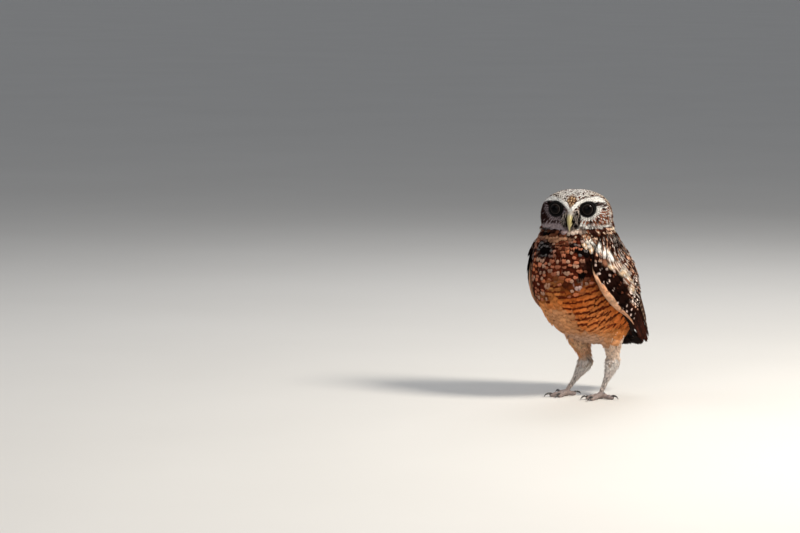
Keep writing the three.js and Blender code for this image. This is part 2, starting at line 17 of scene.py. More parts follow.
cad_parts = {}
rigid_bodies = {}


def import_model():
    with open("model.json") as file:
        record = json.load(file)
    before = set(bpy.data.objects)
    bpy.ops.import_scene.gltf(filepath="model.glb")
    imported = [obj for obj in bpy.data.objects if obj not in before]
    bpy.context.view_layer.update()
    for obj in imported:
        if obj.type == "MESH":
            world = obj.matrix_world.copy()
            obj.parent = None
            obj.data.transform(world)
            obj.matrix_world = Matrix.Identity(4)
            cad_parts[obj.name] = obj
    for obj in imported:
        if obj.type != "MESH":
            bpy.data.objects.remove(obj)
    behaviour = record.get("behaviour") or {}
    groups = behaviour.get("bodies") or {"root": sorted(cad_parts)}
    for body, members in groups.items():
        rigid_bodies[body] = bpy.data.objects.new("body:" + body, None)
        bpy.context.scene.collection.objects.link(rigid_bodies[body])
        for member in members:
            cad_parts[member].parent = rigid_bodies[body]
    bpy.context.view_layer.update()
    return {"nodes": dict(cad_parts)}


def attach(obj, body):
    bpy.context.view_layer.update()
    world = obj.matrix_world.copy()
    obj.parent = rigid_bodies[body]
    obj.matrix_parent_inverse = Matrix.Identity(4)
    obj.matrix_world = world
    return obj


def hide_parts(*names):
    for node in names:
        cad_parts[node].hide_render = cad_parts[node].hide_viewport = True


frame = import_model()

# Driving dimensions, as the solids have them.
FORWARD = [12, 11, 9, 3, -8, -22, -38, -54]
UP = [186, 170, 153, 134, 114, 95, 78, 63]
SIDE = [36.5, 41, 45, 47.5, 47, 42, 33, 20]
BELLY = [34, 44, 53.5, 58.5, 56, 47.5, 32, 16]
BACK = [38, 40, 44, 47, 47, 42, 30, 17]
BODY_END = 6.9
CAP_LENGTH = 1.3
BREAST_FULLNESS = 0.05
CLOAK_FORWARD = FORWARD + [-70, -86]
CLOAK_UP = UP + [48, 33]
CLOAK_SIDE = {
    "left": [36, 42.5, 49.5, 54, 53.5, 48.5, 41, 31.5, 22, 11],
    "right": [36, 41.5, 47.2, 50.2, 49.7, 45, 38, 31, 22, 11],
}
CLOAK_BELLY = {
    "left": [34, 47, 60, 66, 63, 54, 39, 25, 16, 9],
    "right": [34, 44.5, 55, 60.4, 58, 49.5, 35, 24, 16, 9],
}
CLOAK_BACK = [36, 39.5, 45, 49, 49.5, 45.5, 38.5, 31, 22.5, 12]
LEADING_EDGES = {
    "left": [-2, -16, -29, -27, -21, -12, -10, -10, -9, -6],
    "right": [-2, -24, -46, -50, -36, -18, -10, -10, -9, -6],
}
HEAD_PLACE = np.array([0, -14, 196.0])
HEAD_TURN = math.radians(33)
HEAD_SIDE, HEAD_TOP, HEAD_CHIN, HEAD_FRONT, HEAD_NAPE = 38, 26, 27, 31, 34
HIND_NECK = 5
EYE_OUT, EYE_UP, EYE_RADIUS, EYE_OPENING = 16.8, 7, 8.2, 6.4
EYE_SPLAY = math.radians(13)
TAIL_FORWARD, TAIL_UP, TAIL_LENGTH, TAIL_SWING = -46, 86, 51, -1.5
TAIL_SLOPE = math.radians(47)
LEGS = {
    "left": {"hand": 1, "heel": (15.5, -29.5, 40.5), "foot": (20, -4, 5), "turn": 8},
    "right": {"hand": -1, "heel": (-14.5, -20, 38), "foot": (-20, 6, 5), "turn": -8},
}
THIGH_REACHES = (17, 7.4), (20, 8.2)
SHANK_REACHES = (7.6, 2.5), (8.2, 2.7)
TOES = [("inner", -24, 17, 9.5), ("middle", 6, 20, 10), ("outer", 96, 15, 8.5), ("hind", 196, 10, 9)]
TOE_RADIUS, TOE_AXIS = 2.5, 2.1

# Each surface is one voxel mesh, of cells this large.
SKIN_VOXEL, FOOT_VOXEL = 1.3, 0.34

# How deep the coat is over the skin.
BODY_DEPTH = 3.0
CROWN_DEPTH = 2.2
FACE_DEPTH = 1.1
THIGH_DEPTH = 2.4
SHANK_DEPTH = 0.9

# How many feathers the head, the strip along a wing's edge and the bill's base have.
HEAD_FEATHERS, EDGE_FEATHERS, BRISTLES = 4600, 30, 150

# The trunk's feathers grow between these stations. Each pair holds for the upper and for the lower one.
GROWING = (0.4, 2.2)
ROW_STEP, ROOT_SPACING = (3.0, 5.9), (3.8, 7.2)
TRUNK_LENGTH, TRUNK_HALF = (9.0, 15.0), (2.5, 4.9)

# Places in the pattern round the trunk are in mm, at this much for each degree.
MM_PER_DEGREE = 0.87

# The camera. The photograph is 800 pixels wide, and the point on the ground between the bird's feet lies
# at ORIGIN_PIXEL in it.
PHOTO_WIDTH, PHOTO_HEIGHT = 800, 533
ORIGIN_PIXEL = (585, 396)
MM_PER_PIXEL = 1.06
CAMERA_AZIMUTH, CAMERA_ELEVATION = math.radians(43), math.radians(6)
CAMERA_DISTANCE = 3.5
SENSOR = 36.0
FLOOR_REACH = 40.0

RNG = np.random.default_rng(20)


# Numbers and curves.
def between(values, at):
    """Values between stations on a smooth curve through all of them."""
    values, at = np.asarray(values, float), np.asarray(at, float)
    last = len(values) - 1
    i = np.clip(np.floor(at), 0, last - 1).astype(int)
    t = at - i
    if values.ndim > 1:
        t = t[..., None]
    a, b, c, d = (values[np.clip(i + n, 0, last)] for n in (-1, 0, 1, 2))
    return b + 0.5 * t * (c - a + t * (2 * a - 5 * b + 4 * c - d + t * (3 * (b - c) + d - a)))


def mix(a, b, t):
    return a + (b - a) * t


def ramp(start, end, x):
    t = np.clip((np.asarray(x, float) - start) / (end - start), 0, 1)
    return t * t * (3 - 2 * t)


def bell(x, width):
    return np.exp(-((x / width) ** 2))


def unit(v):
    return v / np.maximum(np.linalg.norm(v, axis=-1, keepdims=True), 1e-9)


def vary(count, low, high):
    return RNG.uniform(low, high, count)


def srgb(red, green, blue):
    c = np.array([red, green, blue]) / 255
    return np.where(c <= 0.04045, c / 12.92, ((c + 0.055) / 1.055) ** 2.4)


# The body, the cloak that the wings lie on, the head and the tail as surfaces.
def stack_point(spine, side, belly, back, at, angle, lift):
    at, angle = np.broadcast_arrays(np.asarray(at, float), np.asarray(angle, float))
    forward, up = (between(line, at) for line in spine)
    step = 0.01
    along = np.stack([between(line, at + step) - between(line, at - step) for line in spine], -1)
    along = unit(along)
    turn = np.radians(angle)
    under = np.sin(turn) < 0
    full = np.where(under, 1 + BREAST_FULLNESS * np.sin(2 * turn) ** 2, 1)
    reach = np.where(under, belly, back) * full
    x = (side * full + lift) * np.cos(turn)
    out = (reach + lift) * np.sin(turn)
    return np.stack([x, -(forward + along[..., 1] * out), up - along[..., 0] * out], -1)


def body_point(at, angle, lift=0.0):
    at = np.asarray(at, float)
    past = np.maximum(at - (BODY_END - CAP_LENGTH), 0) / CAP_LENGTH
    cap = np.sqrt(np.maximum(1 - past**2, 0))
    side, belly, back = (between(values, at) * cap for values in (SIDE, BELLY, BACK))
    return stack_point((FORWARD, UP), side, belly, back, at, angle, lift * cap)


def cloak_point(wing, at, angle, lift=0.0):
    """A point of the cloak of one wing. Both are laid on the left."""
    side, belly, back = (between(values, at) for values in (CLOAK_SIDE[wing], CLOAK_BELLY[wing], CLOAK_BACK))
    return stack_point((CLOAK_FORWARD, CLOAK_UP), side, belly, back, at, angle, lift)


def girth(at):
    return (between(CLOAK_SIDE["left"], at) + between(CLOAK_BACK, at)) / 2


def face_relief(x, z):
    """How far brow, rim of the disc, bridge and cheek stand out of the plain head, less the eye's hollow."""
    to_eye = np.hypot(x - EYE_OUT, z - EYE_UP)
    brow_top = 17 - 0.034 * (x - 19) ** 2
    brow = 2.1 * bell(z - brow_top, 3.4) * ramp(1, 9, x) * (1 - ramp(27, 34, x))
    rim = 1.5 * bell(to_eye - 18, 3) * (1 - ramp(2, 10, z))
    bridge = 3.2 * bell(x, 4.5) * ramp(-16, -2, z) * (1 - ramp(6, 17, z))
    cheek = 1.6 * np.exp(-(((x - 8) / 5) ** 2) - ((z + 9) / 5) ** 2)
    return brow + rim + bridge + cheek - 2.6 * bell(to_eye, 10)


def head_point(direction, depth=0.0):
    """The head's surface towards a direction, in the head's own frame, sunk in by depth."""
    x, y, z = np.moveaxis(np.asarray(direction, float), -1, 0)
    reach_y = np.where(y < 0, HEAD_FRONT, HEAD_NAPE)
    reach_z = np.where(z > 0, HEAD_TOP, HEAD_CHIN)
    parts = sum(np.abs(v / r) ** 2.2 for v, r in ((x, HEAD_SIDE), (y, reach_y), (z, reach_z)))
    size = parts ** (-1 / 2.2) - depth
    x, y, z = x * size, y * size, z * size
    front, back = -np.asarray(direction)[..., 1], np.asarray(direction)[..., 1]
    y = y - face_relief(np.abs(x), z) * ramp(0.15, 0.6, front)
    y = y + HIND_NECK * ramp(0, 0.5, back) * ramp(12, -14, z)
    return np.stack([x, y, z], -1)


TURN = np.array(
    [
        [math.cos(HEAD_TURN), -math.sin(HEAD_TURN), 0],
        [math.sin(HEAD_TURN), math.cos(HEAD_TURN), 0],
        [0, 0, 1],
    ]
)


def from_head(points):
    return points @ TURN.T + HEAD_PLACE


def to_head(points):
    return (points - HEAD_PLACE) @ TURN


def tail_point(along, sideways, lift):
    c, s = math.cos(TAIL_SLOPE), math.sin(TAIL_SLOPE)
    height = lift - sideways**2 / 160
    along, sideways, height = np.broadcast_arrays(along, sideways, height)
    return np.stack([sideways, -TAIL_FORWARD + along * c + height * s, TAIL_UP - along * s + height * c], -1)


def eye_frame(hand):
    """The eye's middle, its line of sight and how far in front of its middle the lids' plane lies."""
    lid = np.array([hand * EYE_OUT, 0, EYE_UP])
    front = head_point(unit(np.array([lid[0], -HEAD_FRONT, lid[2]])))
    sight = np.array([hand * math.sin(EYE_SPLAY), -math.cos(EYE_SPLAY), 0])
    lid_depth = math.sqrt(EYE_RADIUS**2 - EYE_OPENING**2)
    lid[1] = front[1]
    return lid + sight * (0.4 - lid_depth), sight, lid_depth


def ball_centre(node):
    """The middle of a round CAD node in millimetres, from its corners."""
    corners = np.array([v.co for v in frame["nodes"][node].data.vertices]) * 1000
    equations = np.c_[2 * corners, np.ones(len(corners))]
    return np.linalg.lstsq(equations, (corners**2).sum(1), rcond=None)[0][:3]


SHIFT = ball_centre("eye_left") - from_head(eye_frame(1)[0])


def to_row(points):
    """Metres in the row frame, from millimetres in the bird's frame."""
    return (np.asarray(points) + SHIFT) / 1000


# Plain closed meshes as (corners, faces).
def tube_mesh(rings, start, end):
    """Rings of points (rows, sides, 3) closed by a fan to a point at each end."""
    rows, sides = rings.shape[:2]
    corners = np.concatenate([rings.reshape(-1, 3), [start, end]])
    j = np.arange(sides)
    k = (j + 1) % sides
    first, last = rows * sides, (rows - 1) * sides
    faces = [(first, b, a) for a, b in zip(j, k)] + [(first + 1, last + a, last + b) for a, b in zip(j, k)]
    for i in range(rows - 1):
        a, b = i * sides, (i + 1) * sides
        faces += [(a + p, a + q, b + q, b + p) for p, q in zip(j, k)]
    return corners, faces


def loop_mesh(profile_rings):
    """Rings of points (count, points, 3) that close on themselves both ways."""
    count, points = profile_rings.shape[:2]
    faces = []
    for i in range(count):
        a, b = i * points, (i + 1) % count * points
        faces += [(a + j, a + (j + 1) % points, b + (j + 1) % points, b + j) for j in range(points)]
    return profile_rings.reshape(-1, 3), faces


def joined(*meshes):
    corners, faces, start = [], [], 0
    for points, polygons in meshes:
        corners.append(points)
        faces += [tuple(start + v for v in f) for f in polygons]
        start += len(points)
    return np.concatenate(corners), faces


def limb_frames(path, across, t):
    """Points on a curve through path, and the directions to its side and up from it."""
    path = np.asarray(path, float)
    centre = between(path, t * (len(path) - 1))
    step = 0.01
    tangent = unit(between(path, (t + step) * (len(path) - 1)) - between(path, (t - step) * (len(path) - 1)))
    side = unit(across - (tangent @ across)[:, None] * tangent)
    return centre, side, np.cross(side, tangent)


def limb_mesh(path, across, wide, deep, sides, steps, ends, shape=None):
    """A closed limb with round ends. shape(t, angle) may scale its reach all round."""
    i = np.arange(1, steps) / steps
    t = mix(i, (1 - np.cos(np.pi * i)) / 2, 0.6)
    inset = np.maximum(np.maximum(1 - t / ends, 1 - (1 - t) / ends), 0)
    round_end = np.sqrt(1 - inset**2)
    centre, side, up = limb_frames(path, np.asarray(across, float), t)
    angle = np.arange(sides) * 2 * np.pi / sides
    scale = shape(t[:, None], angle[None]) if shape else np.ones((len(t), sides))
    right = (wide(t) * round_end)[:, None] * np.cos(angle) * scale
    above = (deep(t) * round_end)[:, None] * np.sin(angle) * scale
    rings = centre[:, None] + side[:, None] * right[..., None] + up[:, None] * above[..., None]
    return tube_mesh(rings, np.asarray(path[0], float), np.asarray(path[-1], float))


# Blender objects.
def placed(name, data):
    made = bpy.data.objects.new(name, data)
    bpy.context.scene.collection.objects.link(made)
    return made


def make_object(name, corners, faces, material=None, slot=None, replaces=()):
    mesh = bpy.data.meshes.new(name)
    mesh.from_pydata(to_row(corners).tolist(), [], [tuple(int(v) for v in f) for f in faces])
    mesh.shade_smooth()
    return finished(placed(name, mesh), material, slot, replaces)


def finished(made, material, slot, replaces=()):
    """Gives a piece its material, puts it on the root body when it has a slot, and hides the solids that it
    stands for.
    """
    if material:
        made.data.materials.clear()
        made.data.materials.append(material)
    if slot:
        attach(made, "root")
    if replaces:
        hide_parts(*replaces)
    return made


def evaluated_mesh(made):
    """Applies the object's modifiers to its own mesh."""
    depsgraph = bpy.context.evaluated_depsgraph_get()
    mesh = bpy.data.meshes.new_from_object(made.evaluated_get(depsgraph))
    old = made.data
    made.modifiers.clear()
    made.data = mesh
    bpy.data.meshes.remove(old)
    mesh.shade_smooth()
    return mesh


def voxel_joined(name, parts, voxel, smoothing):
    """One closed surface over several that cross."""
    made = make_object(name, *joined(*parts))
    remesh = made.modifiers.new("join", "REMESH")
    remesh.mode = "VOXEL"
    remesh.voxel_size = voxel / 1000
    smooth = made.modifiers.new("ease", "SMOOTH")
    smooth.factor = 0.5
    smooth.iterations = smoothing
    evaluated_mesh(made)
    return made


def read(items, key, width):
    values = np.empty(len(items) * width, np.float32)
    items.foreach_get(key, values)
    return values.reshape(-1, width).astype(float)


def corners_of(made):
    return read(made.data.vertices, "co", 3) * 1000 - SHIFT


def set_vectors(mesh, name, values, kind="VECTOR"):
    layer = mesh.attributes.new(name, "FLOAT_" + kind, "POINT")
    layer.data.foreach_set(kind.lower(), np.asarray(values, np.float32).ravel())


def set_colours(mesh, name, colours):
    set_vectors(mesh, name, colours, "COLOR")


# Materials, as small node graphs.
class Wire:
    """A value on its way through a material's nodes, with arithmetic."""

    def __init__(self, graph, socket):
        self.graph, self.socket = graph, socket

    def math(self, operation, *others, clamp=False):
        return self.graph.math(operation, self, *others, clamp=clamp)

    def __add__(self, other):
        return self.math("ADD", other)

    def __mul__(self, other):
        return self.math("MULTIPLY", other)

    def __sub__(self, other):
        return self.math("SUBTRACT", other)

    def __truediv__(self, other):
        return self.math("DIVIDE", other)

    def __pow__(self, other):
        return self.math("POWER", other)

    def __abs__(self):
        return self.math("ABSOLUTE")

    def at_least(self, other):
        return self.math("MAXIMUM", other)

    def step(self, low, high):
        """0 below low and 1 above high, eased between; low may be the greater of the two."""
        values = enumerate((self, low, high, 0.0, 1.0))
        return self.graph.node("ShaderNodeMapRange", values, interpolation_type="SMOOTHSTEP")


class Graph:
    """A material's nodes, round the surface shader that it comes with."""

    def __init__(self, name):
        self.material = bpy.data.materials.new(name)
        self.material.use_nodes = True
        self.tree = self.material.node_tree
        self.surface = self.tree.nodes["Principled BSDF"]

    def put(self, socket, value):
        if isinstance(value, Wire):
            self.tree.links.new(value.socket, socket)
        else:
            socket.default_value = value

    def node(self, kind, inputs=(), output=0, **settings):
        made = self.tree.nodes.new(kind)
        for key, value in settings.items():
            setattr(made, key, value)
        for key, value in dict(inputs).items():
            self.put(made.inputs[key], value)
        return Wire(self, made.outputs[output])

    def math(self, operation, *values, clamp=False):
        return self.node("ShaderNodeMath", enumerate(values), operation=operation, use_clamp=clamp)

    def mix(self, share, a, b, blend="MIX"):
        return self.node("ShaderNodeMix", {0: share, 6: a, 7: b}, 2, data_type="RGBA", blend_type=blend)

    def shaded(self, colour, tone):
        """A colour times a grey tone."""
        grey = self.node("ShaderNodeCombineXYZ", enumerate((tone, tone, tone)))
        return self.mix(1.0, colour, grey, "MULTIPLY")

    def attribute(self, name, output="Vector"):
        return self.node("ShaderNodeAttribute", (), output, attribute_name=name)

    def split(self, name):
        """The three numbers of a point attribute."""
        vector = {"Vector": self.attribute(name)}
        return [self.node("ShaderNodeSeparateXYZ", vector, axis) for axis in "XYZ"]

    def noise(self, scale, detail=3.0, vector=None):
        vector = vector or self.node("ShaderNodeTexCoord", (), "Object")
        return self.node("ShaderNodeTexNoise", {"Vector": vector, "Scale": scale, "Detail": detail}, "Fac")

    def bump(self, height, strength, distance):
        values = {"Height": height, "Strength": strength, "Distance": distance}
        self.put(self.surface.inputs["Normal"], self.node("ShaderNodeBump", values))

    def set(self, **values):
        for name, value in values.items():
            self.put(self.surface.inputs[name.replace("_", " ")], value)
        return self.material


def rgba(red, green, blue):
    return (*srgb(red, green, blue), 1)


def feather_material():
    """Vanes coloured by what each carries: a ground, a marking, how much of each pattern, and barbs."""
    g = Graph("feather")
    across, along, chance = g.split("vane")
    side, from_tip, period = g.split("reach")
    spots, streak, fringe = g.split("pattern")
    offset, wide, long = g.split("spotting")
    wobble = (g.noise(420.0) - 0.5) * 2.8
    off = abs(side)
    curved_from_tip = off**2.0 * 0.035 + from_tip
    back = curved_from_tip - (long + (chance * 0.9 + 0.6))
    turn = (back / period + 0.5).math("FRACT") - 0.5
    y = (turn * period + wobble) / long
    x = (off - offset + wobble) / wide
    spot = (x**2.0 + y**2.0).math("SQRT")
    edge = abs(across).step(0.6, 0.85).at_least(along.step(0.82, 0.92))
    shaft = abs(wobble * 0.25 + across).step(0.36, 0.16)

    def marked(widen):
        lines = (streak * shaft).at_least(fringe * edge)
        return (spots * spot.step(1.12 + widen, 0.86 + widen)).at_least(lines)

    marking = marked(0.0)
    halo = marked(0.5).math("SUBTRACT", marking, clamp=True)
    barbs = ((off * 0.8 + from_tip) * 9.0).math("SINE")
    fine = g.noise(2600.0, 2.0)
    ground = g.attribute("ground", "Color")
    dark_ground = g.mix(1.0, ground, (0.22, 0.2, 0.2, 1), "MULTIPLY")
    colour = g.mix(marking, g.mix(halo * 0.65, ground, dark_ground), g.attribute("mark", "Color"))
    tone = fine * 0.3 + (barbs * 0.06 + (chance * 0.34 + 0.66))
    # Darker towards the root: the feathers' darker bases, and painted shade where they lie under those above.
    from_root = along.step(0.2, 0.66) * 0.6 + 0.4
    shaft_line = abs(across).step(0.05, 0.02) * -0.2 + 1.0
    g.bump(fine * 0.8 + barbs, 0.5, 0.00012)
    colour = g.shaded(colour, tone * from_root * shaft_line)
    return g.set(Base_Color=colour, Roughness=fine * 0.25 + 0.6, Specular_IOR_Level=0.02)


def skin_material():
    g = Graph("skin_under_feathers")
    colour = g.shaded(g.attribute("ground", "Color"), g.noise(900.0, 4.0) * 0.6 + 0.55)
    g.bump(g.noise(1600.0), 0.4, 0.0002)
    return g.set(Base_Color=colour, Roughness=0.85, Specular_IOR_Level=0.1)


def eye_material():
    """Rings round the line of sight: pupil, dark iris with fibres, a thin paler ring, and black beyond."""
    g = Graph("eye")
    out = g.split("rings")[0]
    iris = g.mix(g.noise(9.0, 4.0, g.attribute("fibres")), rgba(5, 3, 3), rgba(20, 12, 9))
    colour = g.mix(out.step(3.1, 3.6), rgba(2, 2, 3), iris)
    ring = out.step(4.7, 5.0) * out.step(5.55, 5.25)
    colour = g.mix(ring * 0.6, colour, rgba(60, 56, 54))
    colour = g.mix(out.step(5.4, 5.7), colour, rgba(5, 4, 4))
    return g.set(
        Base_Color=colour, Roughness=0.3, Specular_IOR_Level=0.0, Coat_Weight=0.1, Coat_Roughness=0.02
    )


def bill_material():
    """Greyish round the base, olive yellow along the hook, with faint growth lines."""
    g = Graph("bill")
    along, dark, _ = g.split("horn")
    grain = g.noise(700.0, 4.0)
    growth = g.noise(3.0, 5.0, g.attribute("grain"))
    place = along + (grain - 0.5) * 0.25
    colour = g.mix(place.step(0.2, 0.5), rgba(156, 150, 146), rgba(170, 156, 104))
    colour = g.mix(place.step(0.75, 1.0), colour, rgba(192, 184, 148))
    colour = g.mix(growth * 0.45, colour, rgba(92, 82, 50))
    # Painted shade in the nostrils.
    colour = g.mix(dark, colour, rgba(18, 14, 12))
    g.bump(growth + grain * 0.4, 0.35, 0.0002)
    return g.set(Base_Color=colour, Roughness=grain * 0.2 + 0.28, Specular_IOR_Level=0.5)


def foot_material():
    """Greyish, slightly pink scaly skin with dark creases."""
    g = Graph("scaly_skin")
    values = {"Vector": g.node("ShaderNodeTexCoord", (), "Object"), "Scale": 1100.0}
    scales = g.node("ShaderNodeTexVoronoi", values, feature="DISTANCE_TO_EDGE")
    colour = g.mix(g.noise(260.0, 4.0), rgba(120, 112, 116), rgba(172, 150, 138))
    colour = g.mix(scales.step(0.12, 0.02) * 0.55, colour, rgba(58, 50, 52))
    g.bump(scales.step(0.0, 0.2), 0.6, 0.00025)
    return g.set(Base_Color=colour, Roughness=0.55, Specular_IOR_Level=0.4)


def claw_material():
    g = Graph("claw")
    grain = g.noise(900.0, 4.0)
    colour = g.mix(g.split("horn")[0].step(0.0, 0.35), rgba(74, 66, 62), rgba(22, 19, 19))
    colour = g.mix(grain * 0.3, colour, rgba(88, 78, 70))
    g.bump(grain, 0.3, 0.0001)
    return g.set(Base_Color=colour, Roughness=0.3, Coat_Weight=0.3, Coat_Roughness=0.15)


FEATHER = feather_material()
SKIN = skin_material()


# The skin: body, head, thighs and shanks in one surface, sunk in by the coat's depth.
def body_flesh():
    angle = np.arange(0, 360, 4.0)
    at = np.linspace(0, BODY_END * 0.998, 70)
    rings = body_point(at[:, None], angle[None], -BODY_DEPTH)
    in_head = HEAD_PLACE + [0, 0, 4]
    rings = np.concatenate([[mix(rings[0], in_head, 0.4)], rings])
    end = np.array([0, -between(FORWARD, BODY_END), between(UP, BODY_END)])
    return tube_mesh(rings, in_head, end)


def head_flesh():
    polar = np.pi * (np.arange(1, 64) / 64) ** 1.15
    turn = np.radians(np.arange(0, 360, 4.0))
    x = np.sin(polar)[:, None] * np.cos(turn)
    z = np.sin(polar)[:, None] * np.sin(turn)
    y = np.repeat(-np.cos(polar)[:, None], len(turn), 1)
    depth = mix(CROWN_DEPTH, FACE_DEPTH, ramp(0.1, 0.6, -y))
    rings = from_head(head_point(np.stack([x, y, z], -1), depth))
    front, back = (from_head(head_point(np.array([0, y, 0.0]), FACE_DEPTH)) for y in (-1.0, 1.0))
    return tube_mesh(rings, front, back)


def in_body(side, forward, up):
    return np.array([side, -forward, up], float)


def thigh_line(leg):
    side, forward, up = leg["heel"]
    hand = leg["hand"]
    return np.array(
        [
            in_body(side + hand * 5, forward + 12, up + 50),
            in_body(side + hand * 5, forward + 9, up + 28),
            in_body(side + hand * 2, forward + 4, up + 11),
            in_body(side, forward + 1, up - 2),
        ]
    )


def shank_line(leg):
    heel, foot = in_body(*leg["heel"]), in_body(*leg["foot"])
    return np.array([mix(heel, foot, -0.05), mix(heel, foot, 0.45) + [0, 0.8, -0.8], foot])


def thigh_reach(t, depth):
    thin = ramp(0, 0.9, t)
    return [mix(root, heel, thin) - depth for root, heel in THIGH_REACHES]


def shank_reach(t, depth):
    thin = ramp(0.05, 0.75, t)
    return [mix(heel, foot, thin) - depth * (1 - 0.4 * thin) for heel, foot in SHANK_REACHES]


SIDEWAYS = np.array([1.0, 0, 0])


def leg_flesh(line, reach, depth):
    wide, deep = (lambda t, n=n: reach(t, depth)[n] for n in (0, 1))
    return limb_mesh(line, SIDEWAYS, wide, deep, sides=24, steps=24, ends=0.1)


def flesh_parts():
    parts = [body_flesh(), head_flesh()]
    for leg in LEGS.values():
        parts.append(leg_flesh(thigh_line(leg), thigh_reach, THIGH_DEPTH))
        parts.append(leg_flesh(shank_line(leg), shank_reach, SHANK_DEPTH))
    return parts


def lid_ring(hand):
    """The lids' swollen rim round one eye, a little drawn out to its outer corner."""
    middle, sight, depth = eye_frame(hand)
    out = unit(np.cross(np.array([0, 0, 1.0]), sight)) * -hand
    up = np.array([0, 0, 1.0])
    profile = np.array(
        [
            (6.15, -0.8), (6.2, 0.1), (6.4, 0.5), (6.75, 0.6), (7.15, 0.4), (7.5, -0.1), (7.8, -1),
            (7.7, -3), (6.5, -3),
        ]
    )
    turn = np.linspace(0, 2 * np.pi, 72, endpoint=False)
    corner = np.maximum(np.cos(turn - 0.6), 0) ** 12 * 0.9 + np.maximum(np.cos(turn - 3.5), 0) ** 12 * 0.5
    radius = profile[None, :, 0] + corner[:, None] * ramp(6.2, 7.2, profile[None, :, 0])
    flat = out * np.cos(turn)[:, None] + up * np.sin(turn)[:, None]
    rings = middle + sight * (depth + profile[None, :, 1:2]) + flat[:, None] * radius[..., None]
    return loop_mesh(from_head(rings))


def ball(centre, axis, radius, rows=24, sides=36):
    """A sphere whose poles lie on an axis."""
    side = unit(np.cross(axis, [0, 0, 1.0]))
    up = np.cross(side, axis)
    polar = np.pi * np.arange(1, rows) / rows
    turn = np.arange(sides) * 2 * np.pi / sides
    ring = side * np.cos(turn)[:, None] + up * np.sin(turn)[:, None]
    points = axis * np.cos(polar)[:, None, None] + ring[None] * np.sin(polar)[:, None, None]
    return tube_mesh(centre + radius * points, centre + radius * axis, centre - radius * axis)


def boolean(made, operation, parts):
    tool = make_object("cutter", *joined(*parts))
    modifier = made.modifiers.new(operation, "BOOLEAN")
    modifier.operation = operation
    modifier.solver = "EXACT"
    modifier.object = tool
    evaluated_mesh(made)
    bpy.data.objects.remove(tool)


class Ground:
    """The surface that feathers grow from."""

    def __init__(self, corners, faces):
        self.tree = BVHTree.FromPolygons(corners.tolist(), faces)

    def nearest(self, points):
        places, normals = np.empty((len(points), 3)), np.empty((len(points), 3))
        for i, point in enumerate(points.tolist()):
            place, normal, _, _ = self.tree.find_nearest(point)
            places[i], normals[i] = place, normal
        return places, normals

    def march(self, roots, directions, lengths, half, steps=3):
        """Middle lines (N, steps, 3) that run over the surface from the roots, their normals, and how far the
        surface falls away at each side of them."""
        place, normal = self.nearest(roots)
        places, normals = [place], [normal]
        for _ in range(steps - 1):
            along = unit(directions - (directions * normal).sum(1, keepdims=True) * normal)
            place, normal = self.nearest(place + along * (lengths / (steps - 1))[:, None])
            directions = along
            places.append(place)
            normals.append(normal)
        middle, up = places[steps // 2], normals[steps // 2]
        side = unit(np.cross(directions, up)) * half[:, None]
        falls = [((self.nearest(middle + s)[0] - middle) * up).sum(1) for s in (side, -side)]
        return np.stack(places, 1), np.stack(normals, 1), np.minimum((falls[0] + falls[1]) / 2, -0.08 * half)


# Vanes.
def comb(rows, fingers, slit):
    """A closed vane whose end is split into barbs, as (across, along, thickness, barb, barb share) for each
    corner and its triangles. Its two faces share the corners of its rim."""
    rims = np.linspace(-1, 1, fingers + 1)
    middles = (rims[:-1] + rims[1:]) / 2
    columns = np.sort(np.concatenate([rims, middles]))
    last = len(columns) - 1
    corners = []
    for i in range(rows + 1):
        for c, u in enumerate(columns):
            edge = c in (0, last) or (i == rows and c % 2 == 0)
            corners.append((u, slit * i / rows, 0 if edge else 1 - 0.4 * u * u, -1, 0))
    width = last + 1
    faces = []
    for i in range(rows):
        for c in range(last):
            a, b = i * width + c, (i + 1) * width + c
            faces += [(a, a + 1, b + 1), (a, b + 1, b)]
        e0, e1, f0, f1 = i * width, i * width + last, (i + 1) * width, (i + 1) * width + last
        if i < rows - 1:
            faces += [(e0, f0, f1), (e0, f1, e1)]
        else:
            faces += [(e0, f0 + 2 * k, f0 + 2 * k + 2) for k in range(fingers)] + [(e0, f1, e1)]
    faces += [(0, c + 1, c) for c in range(1, last)]
    for k in range(fingers):
        left, centre, right = (rows * width + 2 * k + n for n in (0, 1, 2))
        reach = 0.8 / fingers
        low = len(corners)
        corners += [(middles[k] - reach, 1, 0, k, 0.55), (middles[k], 1, 0.7, k, 0.55)]
        corners += [(middles[k] + reach, 1, 0, k, 0.55), (middles[k], 1, 0, k, 1)]
        l2, m2, r2, tip = low, low + 1, low + 2, low + 3
        faces += [(left, centre, m2), (left, m2, l2), (centre, right, r2), (centre, r2, m2)]
        faces += [(l2, m2, tip), (m2, r2, tip), (left, l2, r2), (left, r2, right), (l2, tip, r2)]
    return np.array(corners, float), np.array(faces)


def follow(values, at):
    """Points at shares at (N, M) along smooth lines through values (N, K, 3)."""
    last = values.shape[1] - 1
    i = np.clip(np.floor(at * last), 0, last - 1).astype(int)
    t = (at * last - i)[..., None]
    a, b, c, d = (np.take_along_axis(values, np.clip(i + n, 0, last)[..., None], 1) for n in (-1, 0, 1, 2))
    a = np.where((i == 0)[..., None], 2 * b - c, a)
    d = np.where((i == last - 1)[..., None], 2 * c - b, d)
    return b + 0.5 * t * (c - a + t * (2 * a - 5 * b + 4 * c - d + t * (3 * (b - c) + d - a)))


def column(values, count):
    return np.broadcast_to(np.asarray(values, float), (count,))[:, None]


